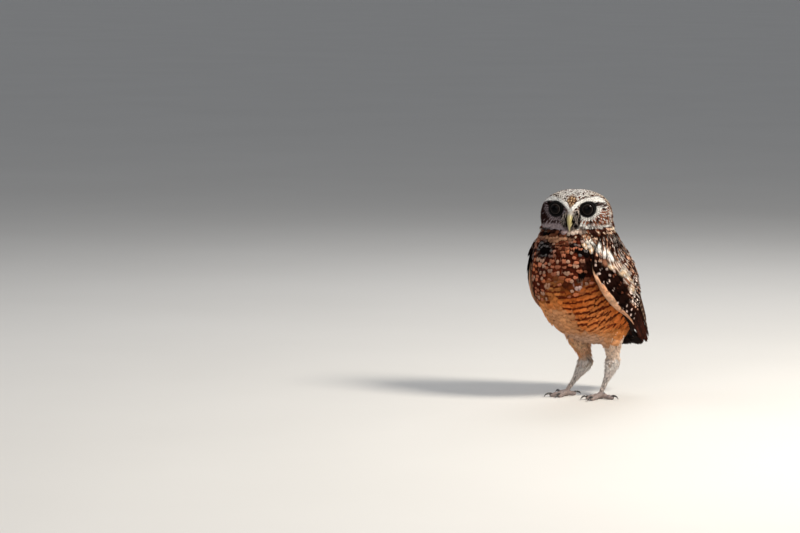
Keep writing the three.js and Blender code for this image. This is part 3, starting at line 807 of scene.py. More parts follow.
def vanes(shape, places, normals, half, root=-0.4, tip=1.0, sag=0.0, thick=0.3, rounding=0.3, narrow=0.3,
          taper=0.0, ragged=0.08, splay=0.25, curl=0.0, roll=0.0):
    """Feathers along middle lines. root and tip are heights over them, sag lets the edges down, curl lifts
    the end and roll one edge, rounding and taper shape the end, narrow is the width at the root, and ragged
    and splay set the barbs apart."""
    template, faces = shape
    count, size = len(places), len(template)
    across, share, body, barb, out = template.T
    barb = barb.astype(int)
    reach = 1 - rounding * np.abs(across) ** 2.4
    barbs = barb.max() + 1
    short = np.concatenate([vary((count, barbs), 0, ragged), np.zeros((count, 1))], 1)[:, barb]
    lean = np.concatenate([vary((count, barbs), -splay, splay), np.zeros((count, 1))], 1)[:, barb]
    slit = template[barb < 0, 1].max()
    v = np.where(barb < 0, share * reach, mix(slit * reach, reach - short, out))
    half = column(half, count)
    wide = half * mix(narrow, 1, ramp(0, 0.42, v)) * (1 - taper * ramp(0.55, 1, v))
    x = across * wide + lean * out * half / max(barbs, 1)
    height = mix(column(root, count), column(tip, count), v**0.8) + column(curl, count) * v**3
    height = height + column(sag, count) * (x / half) ** 2 + column(roll, count) * across
    height = height + thick * body * (1 - 0.4 * v) + 0.25 * np.abs(lean) * out
    centre = follow(places, v)
    ahead = follow(places, v + 0.02)
    normal = unit(follow(normals, v))
    side = unit(np.cross(ahead - centre, normal))
    points = centre + side * x[..., None] + normal * height[..., None]
    length = np.linalg.norm(np.diff(places, axis=1), axis=2).sum(1)[:, None]
    local = np.stack([np.broadcast_to(across, v.shape), v, np.repeat(vary((count, 1), 0, 1), size, 1)], -1)
    from_tip = np.stack([x, (1 - v) * length, np.zeros_like(v)], -1)
    return {"points": points, "faces": faces, "vane": local, "reach": from_tip}


PATCH = 0.003


class Coat:
    """Gathers batches of feathers for one piece.

    The feather material reads from each corner: vane (share across from -1 to 1, share along, chance),
    reach (mm off the shaft, mm from the tip, mm between bars), pattern (spots, streak, fringe), spotting
    (how far off the shaft spots lie, how wide and how long they are), ground and mark."""

    def __init__(self, name, slot, replaces=()):
        self.name, self.slot, self.replaces = name, slot, replaces
        self.parts, self.start = [], 0

    def add(self, batch, look, root_uv):
        points, faces = batch["points"], batch["faces"]
        count, size = points.shape[:2]
        ids = (np.arange(count) * size)[:, None, None] + faces[None] + self.start
        uv = np.asarray(root_uv)[:, None] + PATCH * (batch["vane"][..., :2] * [0.5, 1] - [0, 0.5])
        times = count * size // look.count
        spread = lambda *keys: np.repeat(np.column_stack([look[key] for key in keys]), times, 0)
        reach = batch["reach"].reshape(-1, 3)
        reach[:, 2:] = spread("period")
        self.parts.append(
            {
                "points": points.reshape(-1, 3),
                "faces": ids.reshape(-1, 3),
                "uv": uv.reshape(-1, 2),
                "vane": batch["vane"].reshape(-1, 3),
                "reach": reach,
                "pattern": spread("spots", "streak", "fringe"),
                "spotting": spread("offset", "wide", "long"),
                "ground": spread("ground"),
                "mark": spread("mark"),
            }
        )
        self.start += count * size
        return self

    def build(self):
        whole = {key: np.concatenate([p[key] for p in self.parts]) for key in self.parts[0]}
        faces = whole["faces"]
        mesh = bpy.data.meshes.new(self.name)
        mesh.vertices.add(self.start)
        mesh.vertices.foreach_set("co", to_row(whole["points"]).astype(np.float32).ravel())
        mesh.loops.add(faces.size)
        mesh.loops.foreach_set("vertex_index", faces.ravel().astype(np.int32))
        mesh.polygons.add(len(faces))
        mesh.polygons.foreach_set("loop_start", np.arange(0, faces.size, 3, dtype=np.int32))
        mesh.update(calc_edges=True)
        mesh.shade_smooth()
        for name in ("vane", "reach", "pattern", "spotting"):
            set_vectors(mesh, name, whole[name])
        for name in ("ground", "mark"):
            set_colours(mesh, name, np.column_stack([whole[name], np.ones(self.start)]))
        layer = mesh.uv_layers.new(name="OFBake")
        layer.data.foreach_set("uv", np.clip(whole["uv"], 0, 1)[faces.ravel()].astype(np.float32).ravel())
        finished(placed(self.name, mesh), FEATHER, self.slot, self.replaces)


# Colours.
WHITE = srgb(246, 243, 238)
CREAM = srgb(236, 216, 190)
PINK_BUFF = srgb(210, 131, 98)
BUFF = srgb(218, 146, 86)
ORANGE = srgb(206, 108, 42)
GREY_BUFF = srgb(192, 136, 98)
RUST = srgb(124, 49, 24)
BROWN = srgb(110, 57, 37)
UMBER = srgb(54, 18, 11)
COCOA = srgb(48, 23, 17)
BLACK = srgb(13, 6, 5)
BAR = srgb(84, 24, 10)
STEEL = srgb(112, 105, 103)
# Lilac grey. On the shaded side of the face and chin it stands for white in painted shade.
LILAC = srgb(184, 168, 172)
GREYISH = srgb(208, 186, 170)
SALMON = srgb(228, 162, 120)


def painted(base, colour, share):
    """A colour or a row of them, mixed with another by a share for all or for each."""
    return base + (colour - base) * np.atleast_1d(np.asarray(share, float))[:, None]


def choose(which, one, other):
    """One colour for the feathers that are picked and another for the rest."""
    return np.where(which[:, None], one, other)


def cloudy(points, size, turn=0.0):
    """Slow variation from 0 to 1 over places, in patches of about that size."""
    x, y, z = (points / size).T
    waves = np.sin(2.1 * x + 1.3 * z + turn) + np.sin(1.7 * y - 2.3 * z + 2 * turn)
    waves = waves + np.sin(2.9 * z + 1.1 * x - y)
    return np.clip(0.5 + waves / 4, 0, 1)


class Look(dict):
    """How each of a number of feathers is coloured: a ground, and a mark in spots, along the shaft and round
    the edge. Spots have half widths and half lengths in mm, lie off the shaft by an offset, and come again
    down the feather after each period. A wide short spot is a bar."""

    def __init__(self, count, ground, mark, **values):
        plain = {"spots": 0, "streak": 0, "fringe": 0, "offset": 0, "wide": 1, "long": 1, "period": 60}
        self.count = count
        for key, value in {"ground": ground, "mark": mark, **plain, **values}.items():
            shape = (count, 3) if key in ("ground", "mark") else (count,)
            self[key] = np.array(np.broadcast_to(np.asarray(value, float), shape))

    def lay(self, share, **values):
        """Mixes values in by a share for each feather."""
        share = np.clip(np.broadcast_to(share, (self.count,)), 0, 1)
        for key, value in values.items():
            by = share[:, None] if key in ("ground", "mark") else share
            self[key] = mix(self[key], np.asarray(value, float), by)

    def pick(self, chosen):
        picked = Look(int(chosen.sum()), 0, 0)
        picked.update({key: value[chosen] for key, value in self.items()})
        return picked


def blotch(u, v, middle_u, middle_v, half_u, half_v, tilt=0.0, edge=0.3):
    """1 inside a tilted oval patch and 0 outside it."""
    c, s = math.cos(math.radians(tilt)), math.sin(math.radians(tilt))
    du, dv = u - middle_u, v - middle_v
    return ramp(1 + edge, 1 - edge, np.hypot((c * du + s * dv) / half_u, (c * dv - s * du) / half_v))


# Patches of the pattern, each with its middle, half width, half height and tilt in degrees.
PATCHES = {
    # On the face, by distance from its middle plane and height in the head's own frame.
    "forehead": (0, 15.6, 5.6, 5.4),
    "bridge": (0, 6, 4.6, 5.0),
    "rusty_cheek": (33, -1, 7, 10),
    "pale_jaw": (10, -12, 7, 5),
    "rusty_jaw": (23, -8, 9, 3),
    "dark_temple": (34, 0, 8, 10),
    "eye_stripe": (32, 11.5, 6, 3, 8),
    "lore": (6.8, -4.5, 3.5, 8.2, -8),
    "lore_rays": (7.6, 3.4, 2.2, 4.0),
    "eye_corner": (25.3, 12.6, 2.8, 1.5, 20),
    "brow_end": (30, 20, 5.5, 3.2, -12),
    # Painted shade, on the shaded side of the jaw only.
    "shaded_jaw": (-28, -18.5, 7, 4.6),
    # On the trunk, by mm round from the left side and height.
    "white_band": (-14, 161, 22, 4.4, -35),
    "white_patch": (-5, 152.5, 3.8, 2.6, -45),
    "lilac_spots": (-41, 119, 4, 3.5),
    "breast_shade": (-27, 143, 8, 9, -20),
    "breast_bar": (-32, 133, 10, 2.6, 15),
    "throat_band": (-72, 170.5, 24, 2.8),
    "black_throat": (-95, 175.5, 11, 3.2),
    "rusty_neck": (-58, 163.5, 10, 6),
    "black_right": (-86, 160, 18, 8.5, -12),
    "black_far_right": (-112, 152, 7, 9),
    "black_left": (-34, 159.5, 16, 5.2, -24),
    "pale_streaks": (-24, 161.5, 12, 3, -35),
    # On the wings, by the same.
    "streaky_wing": (13, 108, 8, 15, 10),
    "arc_top": (-6, 146, 9, 5, -12),
    "arc_middle": (4, 138, 9, 6, -50),
    "arc_end": (10, 124, 6, 12, 15),
}


def on(patch, u, v):
    return blotch(u, v, *PATCHES[patch])


def cut(chosen, *arrays):
    return [a[chosen] for a in arrays]


def rooted(ground, places, within):
    """The skin's points nearest to places, and which of them lie within a distance."""
    roots, _ = ground.nearest(places)
    return roots, np.linalg.norm(roots - places, axis=1) < within


def seen_at(lines, share=0.78):
    """The places on the middle lines where feathers show from under those above them."""
    return follow(lines[0], np.full((len(lines[0]), 1), share))[:, 0]


# The head's coat.
BROW_SIDE = [1, 4, 8.5, 12.5, 18, 23, 28, 33, 37]
BROW_UP = [6, 10.5, 13.6, 15.6, 17, 17.2, 17.4, 15, 9]


def over_brow(side, z):
    """How far a place of the face lies above the brow's line."""
    return z - np.interp(side, BROW_SIDE, BROW_UP)


def cell_edges(u, v, size):
    """1 near the edges of rounded cells of about that size, 0 inside them."""
    rows, columns = np.mgrid[-4:5, -4:5].reshape(2, -1)
    centres = np.stack([columns + 0.5 * (rows % 2), 0.9 * rows], 1) * size
    centres = centres + RNG.normal(0, 0.2 * size, centres.shape)
    gaps = np.sort(np.hypot(u[:, None] - centres[:, 0], v[:, None] - centres[:, 1]), 1)
    return ramp(0.5, 0.25, (gaps[:, 1] - gaps[:, 0]) / size)


def head_look(p, chance, other):
    """Markings by place in the head's own frame, with two chances for the feather that each place is on. On
    the bird's right side the whites are lilac grey and the browns darker: painted shade.
    """
    x, y, z = p.T
    side, front, count = np.abs(x), -y, len(p)
    # The bird's left side is the lit one; the colours chosen for the other side are painted shade.
    lit = x > 0
    to_eye = np.hypot(side - EYE_OUT, z - EYE_UP)
    turn = np.degrees(np.arctan2(z - EYE_UP, side - EYE_OUT))
    above = over_brow(side, z)
    face = ramp(1, 7, front)
    fine_waves = np.sin(1.1 * turn + 1.3 * to_eye + 9 * cloudy(p, 5.0, 2.0))
    waves = np.sin(0.55 * turn + 6 * cloudy(p, 9.0)) + 0.6 * fine_waves
    ray = 0.5 + 0.26 * waves + 0.3 * (other - 0.5)

    def either(on_lit, on_shaded):
        return choose(lit, on_lit, on_shaded)

    pale = bell(side - 3, 22) * ramp(8, 20, z) * ramp(-20, 2, front)
    ground = painted(COCOA, BROWN, 0.8 * chance)
    look = Look(count, ground, painted(CREAM, WHITE, pale))
    look.lay(1, spots=0.95 * (other < 0.66 + 0.3 * pale), wide=0.66 + 0.22 * pale, long=1.05 + 0.3 * pale)
    look.lay(ramp(2, -8, front), wide=0.95, long=1.3)
    forehead = face * on("forehead", side, z)
    scales = painted(srgb(214, 180, 140), srgb(88, 54, 38), cell_edges(x, z - 15.6, 3.0))
    look.lay(forehead, ground=scales, spots=0, fringe=0)
    bridge = face * on("bridge", side, z)
    look.lay(bridge, ground=painted(GREYISH, BROWN, 0.8 * (chance < 0.35)), mark=WHITE, spots=0.1)

    disc = face * ramp(1.2, -1, above) * ramp(25, 22, to_eye) * ramp(2.5, 5, side)
    rust = 0.54 + 0.2 * on("rusty_cheek", side, z) - 0.14 * on("pale_jaw", side, z)
    rust = rust + 0.3 * on("rusty_jaw", side, z)
    # The disc's streaks: white and rust on the lit side, dark brown with lilac grey rays on the other as
    # painted shade.
    lit_cheek = painted(WHITE, painted(srgb(150, 86, 54), COCOA, other < 0.3), ramp(rust, rust - 0.12, ray))
    lilac_rays = ramp(0.66, 0.78, ray) * ramp(8, 11, to_eye)
    shaded_cheek = painted(painted(srgb(74, 40, 34), COCOA, other < 0.6), LILAC, 0.9 * lilac_rays)
    look.lay(
        disc, ground=either(lit_cheek, shaded_cheek), mark=either(WHITE, LILAC), spots=0,
        streak=0.2 * (ray > 0.4),
    )
    # Painted shade: the temple of the shaded side is darkened to deep brown.
    far = disc * on("dark_temple", side, z) * ~lit
    look.lay(far * ramp(1.05, 0.85, ray) * 1.2, ground=srgb(44, 23, 20), streak=0)
    look.lay(disc * on("eye_stripe", side, z) * (ray < 0.8), ground=COCOA, streak=0.1)
    # A white arc under the eye, dimmer and lilac grey on the shaded side as painted shade.
    reach = 12.2 + 1.8 * ramp(-40, 0, turn)
    arc = disc * ramp(8.2, 9.0, to_eye) * ramp(reach + 1, reach - 1, to_eye)
    arc = arc * ramp(20, 4, turn) * ramp(-165, -140, turn)
    look.lay(arc * np.where(lit, 0.95, 0.5), ground=either(WHITE, LILAC * 0.8), streak=0)
    # Pale low on the disc: a little white on the lit side, more lilac grey on the other as painted shade.
    low = disc * ramp(-7.5, -9.5, z + 0.5 * (other - 0.5)) * ramp(33, 27, side)
    look.lay(low * np.where(lit, 0.2, 0.75), ground=either(WHITE, LILAC), streak=0)
    lowest = np.interp(side, [10, 24, 34], [-17.5, -16.5, -12.5])
    rim = face * ramp(-9.8, -11.3, z) * ramp(lowest - 0.8, lowest + 0.8, z)
    rim = rim * ramp(3, 6, side) * ramp(38, 35, side)
    look.lay(
        face * ramp(lowest + 0.6, lowest - 0.6, z) * ramp(18, 24, side), ground=COCOA, mark=BROWN, streak=0.3,
    )
    # The disc's lower rim: white with grey and dark streaks on the lit side, lilac grey on the other as
    # painted shade.
    grey = painted(WHITE, srgb(150, 132, 122), 0.7 * (chance < 0.7) * ramp(34, 26, side))
    grey = painted(grey, COCOA, 0.75 * (other < 0.6) * ramp(32, 24, side) * ramp(-10.4, -11.6, z))
    look.lay(rim * 0.95, ground=either(grey, LILAC), mark=WHITE, spots=0, streak=0)
    # White at the disc's outer edge, fainter on the shaded side as painted shade.
    edge = ramp(35.5, 37, side) * ramp(-14, -10, z) * ramp(14, 9, z) * ramp(-7, -3, front)
    look.lay(edge * np.where(lit, 0.9, 0.3), ground=WHITE, spots=0, fringe=0)

    collar = ramp(3, -3, front) * ramp(27, 32, side) * ramp(16, 8, z) * ramp(-30, -20, front)
    look.lay(collar, ground=painted(BROWN, COCOA, chance), mark=CREAM)
    look.lay(collar > 0.5, spots=0.9 * (other < 0.55), wide=0.6, long=1.9, fringe=0)

    look.lay(face * on("lore", side, z) * 1.2, ground=BLACK, mark=BLACK, streak=0, spots=0)
    # Pale rays beside the lores, lilac grey on the shaded side as painted shade.
    look.lay(face * on("lore_rays", side, z) * (chance > 0.45), ground=either(GREYISH, LILAC * 0.7))
    look.lay(
        face * ramp(6, 3.5, side) * ramp(-12, -15, z), ground=srgb(120, 62, 44), mark=LILAC, streak=0.6,
        spots=0,
    )
    # Black round the eye: the dark lids and feathers, with a painted shadow in the eye's hollow.
    black_eye = ramp(9.2, 8.6, to_eye) + on("eye_corner", side, z)
    look.lay(face * black_eye, ground=BLACK, mark=BLACK, streak=0, spots=0, fringe=0)
    half = 1.7 + 1.3 * ramp(22, 29, side) + 0.9 * ramp(10, 4, side)
    brow = face * ramp(half + 0.5, half - 0.3, np.abs(above)) * ramp(0.2, 1.4, side) * ramp(38, 34, side)
    brow = np.maximum(brow, face * 0.9 * on("brow_end", side, z))
    brow = brow * ramp(8.1, 8.8, to_eye)
    look.lay(brow * 1.3, ground=WHITE, mark=WHITE, streak=0, spots=0, fringe=0)

    below = ramp(-15, -17, z) * ramp(-8, 0, front)
    streaky = choose(chance > 0.62, COCOA, srgb(138, 80, 48))
    look.lay(below, ground=choose(chance < 0.2, CREAM, streaky), mark=CREAM, spots=0.5 * (other > 0.6))
    # A black patch with dim lilac spots on the shaded side's jaw only: painted shade.
    look.lay(on("shaded_jaw", x, z) * face, ground=BLACK, mark=LILAC * 0.5, spots=0.3)
    return look


def head_flow(p):
    """Which way feathers lie at a place of the head, in the head's own frame."""
    x, y, z = p.T
    side, front, hand = np.abs(x), -y, np.sign(x)
    zero = np.zeros(len(p))
    above = over_brow(side, z)
    to_eye = np.hypot(side - EYE_OUT, z - EYE_UP)
    lie = np.stack([0.25 * hand * ramp(5, 25, side), zero + 1, 0.35 - 1.8 * ramp(-5, 26, y)], -1)
    lie[:, 2] -= 1.2 * ramp(0, -18, z)
    face = ramp(2, 9, front)
    radial = np.stack([hand * (side - EYE_OUT), zero + 2.5, z - EYE_UP], -1)
    lie = mix(lie, unit(radial), (face * ramp(2, -1, above) * ramp(27, 20, to_eye))[:, None])
    brow = face * ramp(-2.6, -1.6, above) * ramp(3.5, 2, above)
    outward = np.stack([hand * 0.9, zero + 0.35, ramp(24, 6, side) * 1.1 - 0.35 * ramp(24, 34, side)], -1)
    lie = mix(lie, outward, brow[:, None])
    lore = face * bell(side - 4.5, 3.5) * ramp(9, 5, z)
    lie = mix(lie, np.stack([hand * 0.45, zero - 0.15, zero - 1], -1), np.clip(lore, 0, 1)[:, None])
    return unit(lie + RNG.normal(0, 0.12, (len(p), 3)))


def head_coat(ground):
    count = HEAD_FEATHERS
    i = np.arange(count) + 0.5
    polar = np.arccos(1 - 2 * (i / count) ** 1.25)
    turn = i * math.pi * (3 - math.sqrt(5))
    aim_at = np.stack([np.sin(polar) * np.cos(turn), -np.cos(polar), np.sin(polar) * np.sin(turn)], -1)
    aim_at = unit(aim_at + RNG.normal(0, 0.006, (count, 3)))
    p = head_point(aim_at, mix(CROWN_DEPTH, FACE_DEPTH, ramp(0.1, 0.6, -aim_at[:, 1])))
    roots, near = rooted(ground, from_head(p), 1.4)
    side, z, front = np.abs(p[:, 0]), p[:, 2], -p[:, 1]
    to_eye = np.hypot(side - EYE_OUT, z - EYE_UP)
    on_bill = (side < 3.9) & (z < 4.5) & (z > -13) & (front > 15)
    keep = near & ~((to_eye < 7.3) & (front > 10)) & ~on_bill
    p, roots, aim_at, to_eye, front, side, z = cut(keep, p, roots, aim_at, to_eye, front, side, z)
    face = ramp(2, 12, front)
    around_eye = ramp(14, 8, to_eye) * face
    nape = (0.5 + 0.4 * (p[:, 0] > 15)) * bell(z + 20, 6) * (1 - face)
    ruff = bell(z + 11, 9) * ramp(20, 32, side) + nape
    length = mix(mix(8.2, 5.2, face), 2.7, around_eye) * vary(len(p), 0.82, 1.18) + 3.5 * ruff
    half = mix(mix(1.8, 1.1, face), 0.75, around_eye) * vary(len(p), 0.85, 1.15)
    lines = ground.march(roots, head_flow(p) @ TURN.T, length, half)
    seen = to_head(seen_at(lines))
    chance, other = vary(len(p), 0, 1), vary(len(p), 0, 1)
    round_axis, off_axis = np.arctan2(aim_at[:, 0], aim_at[:, 2]), np.arccos(-aim_at[:, 1])
    where = np.stack([0.5 + round_axis / (2 * np.pi), off_axis / np.pi], 1)
    tip = mix(2.1, 0.95, face) + 2.6 * ruff
    for name, chosen, shape in (
        ("coat_face", front > 6, comb(2, 5, 0.7)),
        ("coat_crown", front <= 6, comb(2, 6, 0.78)),
    ):
        batch = vanes(
            shape, lines[0][chosen], lines[1][chosen], half[chosen], root=-0.35, tip=tip[chosen],
            sag=lines[2][chosen], thick=0.22, rounding=0.42, narrow=0.45, ragged=0.14, splay=0.35,
            curl=vary(chosen.sum(), -0.25, 0.4),
        )
        corners = mix(seen[chosen][:, None], to_head(batch["points"]), 0.65)
        of_corners = lambda values: np.repeat(values[chosen], corners.shape[1])
        look = head_look(corners.reshape(-1, 3), of_corners(chance), of_corners(other))
        Coat(name, "plumage_head").add(batch, look, where[chosen]).build()


# The body's coat. Feathers in the barred parts have marks as wide as this, and bars this far apart.
BARRED = 8.5
BAR_GAP = 5.8


def round_angle(points, forward=FORWARD, up=UP, side=SIDE, belly=BELLY, back=BACK):
    """The angle round the trunk, or another stack of sections, at which places lie."""
    x, y, z = points.T
    here = lambda values: np.interp(-z, -np.array(up), values)
    out = y + here(forward)
    return np.degrees(np.arctan2(out / np.where(out > 0, here(back), here(belly)), x / here(side)))


def ring_place(points):
    """How far down the trunk places lie in mm, counted by rings that rise towards its sides."""
    return 0.0035 * (MM_PER_DEGREE * round_angle(points) + 75) ** 2 - points[:, 2]


def white_band(look, u, z, chance, other):
    """White streaks from the side of the neck down to the shoulder, with a pure white patch at their end."""
    band = on("white_band", u, z)
    pale = choose(other > 0.33, painted(WHITE, CREAM, 0.6 * chance), GREY_BUFF)
    look.lay(band, ground=pale, mark=choose(chance > 0.5, COCOA, WHITE), fringe=0)
    look.lay(
        band > 0.5, spots=0.85 * (other < 0.75), wide=0.55, long=2.2, period=6, offset=1.4 * (chance > 0.3),
    )
    look.lay(on("white_patch", u, z), ground=WHITE, mark=WHITE, spots=0, streak=0, fringe=0)


def trunk_look(angle, z, chance):
    """Markings of neck, breast, belly and back by angle from the left side and by height."""
    count = len(z)
    a = (angle + 180) % 360 - 180
    u = a * MM_PER_DEGREE
    other = vary(count, 0, 1)
    patch = cloudy(np.stack([u, z, z * 0], 1), 12.0, 1.0)

    third = vary(count, 0, 1)
    ground = painted(UMBER, RUST, 0.7 * patch * (0.3 + 0.7 * chance))
    mark = painted(PINK_BUFF, ORANGE, 0.35 * (other > 0.85))
    mark = painted(painted(mark, CREAM, 0.45 * (other < 0.4)), UMBER, 0.35 * third * patch)
    look = Look(count, ground, mark, spots=(chance > 0.16) * (0.7 + 0.3 * other))
    look.lay(
        1, wide=1.5 + 1.9 * other, long=1.3 + 1.3 * third, offset=1.9 * (third > 0.62),
        fringe=0.35 * (other < 0.2),
    )

    start = 120 - 12 * ramp(-78, -100, a) - 8 * ramp(-104, -124, a) + 12 * (patch - 0.5)
    lower = ramp(start + 9, start - 9, z)
    flank = ramp(-80, -55, a)
    base = painted(painted(ORANGE, srgb(214, 104, 38), flank), BUFF, (0.25 + 0.6 * patch) * (1 - 0.4 * flank))
    look.lay(lower, ground=base)
    plain_belly = ramp(112, 100, z) * ramp(30, 16, np.abs(a + 98))
    bars = 0.97 * (chance > 0.1 + 0.9 * plain_belly)
    thick = 0.75 + 0.4 * third
    barred = lower + 0.5 * (chance - 0.5) > 0.5
    look.lay(barred, mark=painted(BAR, RUST, 0.5 * (other > 0.7)), spots=bars, fringe=0)
    look.lay(barred, wide=BARRED, long=thick, period=BAR_GAP, offset=0)
    middle = ramp(104, 90, z) * ramp(36, 20, np.abs(a + 94))
    look.lay(middle, ground=painted(srgb(206, 150, 110), BUFF, 0.5 * patch))
    look.lay(middle > 0.6, spots=0.9 * (chance > 0.9), wide=1.2, long=0.6)
    look.lay(ramp(80, 70, z), ground=painted(BUFF, ORANGE, 0.6 * ramp(-50, -20, a)), spots=0)
    look.lay(ramp(78, 66, z) * ramp(60, 20, np.abs(a + 90)), ground=painted(GREY_BUFF, GREYISH, 0.4))
    look.lay(on("lilac_spots", u, z), ground=UMBER, mark=LILAC, spots=1, wide=2.8, long=2.2)
    look.lay(on("breast_shade", u, z), ground=COCOA, mark=PINK_BUFF * 0.6, spots=chance > 0.5)
    look.lay(on("breast_bar", u, z), ground=BLACK, spots=0)

    throat = ramp(170, 173, z) * ramp(-140, -128, a) * ramp(14, 2, a)
    streaky = choose(other > 0.5, COCOA, srgb(112, 64, 44))
    look.lay(
        throat, ground=streaky, mark=CREAM, spots=0.8 * (other < 0.15 + 0.25 * (a > -52)), wide=0.7, long=1.4,
    )
    lowest = np.interp(a, [-120, -96, -75, -55, -35, -14], [186, 179, 178.5, 175.5, 178.5, 184])
    chin = ramp(-118, -110, a) * ramp(0, -10, a) * ramp(lowest - 1, lowest + 1, z)
    # The chin's pale edge: greyish white on the lit side, lilac grey towards the shaded side as painted
    # shade.
    look.lay(chin, ground=choose(a > -62, GREYISH * 1.1, LILAC), mark=COCOA, spots=0, streak=0.2)
    look.lay(on("throat_band", u, z), ground=srgb(186, 136, 104), mark=UMBER, spots=0, fringe=0.5)
    look.lay(on("black_throat", u, z), ground=BLACK, spots=0)
    look.lay(on("rusty_neck", u, z), ground=srgb(92, 42, 26), mark=srgb(150, 92, 66), spots=chance > 0.5)
    small = dict(wide=1.5 + 0.5 * other, long=1.3 + 0.6 * chance, fringe=0)
    look.lay(on("black_right", u, z), ground=BLACK, mark=STEEL, spots=0.9 * (other > 0.5), **small)
    look.lay(on("black_far_right", u, z), ground=BLACK, mark=STEEL, spots=0.9 * (other > 0.55), **small)
    black = on("black_left", u, z)
    look.lay(black, ground=BLACK, mark=choose(other > 0.5, PINK_BUFF, STEEL), spots=chance > 0.3, **small)
    streaks = painted(srgb(206, 168, 130), BROWN, other < 0.35)
    look.lay(on("pale_streaks", u, z), ground=streaks, mark=WHITE, spots=0, streak=0.7)
    white_band(look, u, z, chance, other)

    behind = ramp(12, 22, a) + ramp(-150, -165, a)
    look.lay(behind, ground=painted(BROWN, COCOA, 0.75 * patch), mark=CREAM)
    look.lay(
        behind > 0.5, spots=chance > 0.15, wide=0.9 + 0.5 * other, long=1.7, offset=1.6 * (other > 0.4),
        fringe=0,
    )
    look.lay(behind * ramp(104, 98, z), ground=painted(COCOA, BROWN, 0.5 * chance), mark=BUFF)
    return look


def hidden_by_wing(at, angle):
    """True well under a folded wing."""
    angle = (angle + 90) % 360 - 90
    left = angle <= 90
    edge = np.where(left, between(LEADING_EDGES["left"], at), between(LEADING_EDGES["right"], at))
    from_side = np.where(left, angle, 180 - angle)
    return (at > 2.3) & (at < 6.0) & (from_side > edge + 14) & (from_side < 80)


def body_rows():
    """Roots in rows down the body, each row shifted half a step from the one above."""
    stations, angles = [], []
    at, shifted = 0.1, 0
    while at < 6.75:
        grown = float(ramp(*GROWING, at))
        exposed, spacing = mix(*ROW_STEP, grown), mix(*ROOT_SPACING, grown)
        around = np.linalg.norm(np.diff(body_point(at, np.arange(0, 361, 10.0)), axis=0), axis=1).sum()
        number = max(int(around / spacing), 8)
        step = np.linalg.norm(body_point(at + 0.1, -90.0) - body_point(at, -90.0)) / 0.1
        stations.append(at + vary(number, -0.2, 0.2) * exposed / max(step, 12))
        angles.append((np.arange(number) + 0.5 * shifted + vary(number, -0.16, 0.16)) * 360 / number)
        at += exposed / max(step, 12)
        shifted = 1 - shifted
    return np.concatenate(stations), np.concatenate(angles)


def body_coat(ground):
    at, angle = body_rows()
    at, angle = cut(~hidden_by_wing(at, angle), at, angle)
    roots, near = rooted(ground, body_point(at, angle, -BODY_DEPTH), 1.6)
    at, angle, roots = cut(near, at, angle, roots)
    count = len(at)
    lie = unit(body_point(at + 0.05, angle) - body_point(at - 0.05, angle)) + RNG.normal(0, 0.1, (count, 3))
    grown = ramp(*GROWING, at)
    length = mix(*TRUNK_LENGTH, grown) * vary(count, 0.88, 1.14)
    half = mix(*TRUNK_HALF, grown) * vary(count, 0.88, 1.1)
    lines = ground.march(roots, lie, length, half)
    around = np.abs((angle + 270) % 360 - 180)
    downy = ramp(100, 80, roots[:, 2]) * ramp(110, 80, around)
    tall = 2.2 + 0.7 * downy + 2.0 * ramp(165, 174, roots[:, 2]) * ramp(60, 90, around)
    right = bell((angle + 235) % 360 - 115, 22)
    tall = tall + right * (1.7 * bell(roots[:, 2] - 93, 9) - 2.2 * ramp(82, 70, roots[:, 2]))
    coat_look = trunk_look(angle, seen_at(lines)[:, 2], vary(count, 0, 1))
    tips = lines[0][:, -1]
    shift = np.where(coat_look["wide"] == BARRED, ring_place(tips) % BAR_GAP, 0)
    where = np.stack([(angle / 360) % 1, at / 7], 1)
    for name, chosen in (("coat_front", around < 95), ("coat_back", around >= 95)):
        batch = vanes(
            comb(3, 11, 0.86), lines[0][chosen], lines[1][chosen], half[chosen], root=-0.5, tip=tall[chosen],
            sag=lines[2][chosen], thick=0.3, rounding=0.34, narrow=0.4, ragged=0.1, splay=0.6,
            curl=vary(chosen.sum(), -0.4, 0.8) * (1 + downy[chosen]) * (1 - 0.75 * right[chosen]),
        )
        batch["reach"][..., 1] -= shift[chosen][:, None]
        Coat(name, "plumage_body").add(batch, coat_look.pick(chosen), where[chosen]).build()


# Legs.
def limb_roots(line, reach, depth, spacing):
    """Roots in rows along a limb and round it, with the share along and the way they lie."""
    length = np.linalg.norm(np.diff(line, axis=0), axis=1).sum()
    shares, turns = [], []
    rows = int(length / spacing)
    for i in range(rows):
        t = (i + 0.5) / rows
        wide, deep = reach(np.array(t), depth)
        number = max(int(math.pi * (wide + deep) / spacing), 6)
        shares.append(np.full(number, t))
        turns.append((np.arange(number) + 0.5 * (i % 2)) * 2 * np.pi / number)
    t, turn = np.concatenate(shares), np.concatenate(turns)
    t = t + vary(len(t), -0.4, 0.4) / rows
    centre, side, up = limb_frames(line, SIDEWAYS, t)
    wide, deep = reach(t, depth)
    place = centre + side * (wide * np.cos(turn))[:, None] + up * (deep * np.sin(turn))[:, None]
    along = limb_frames(line, SIDEWAYS, np.clip(t + 0.05, 0, 1))[0] - limb_frames(line, SIDEWAYS, t - 0.03)[0]
    return place, t, turn, unit(along)


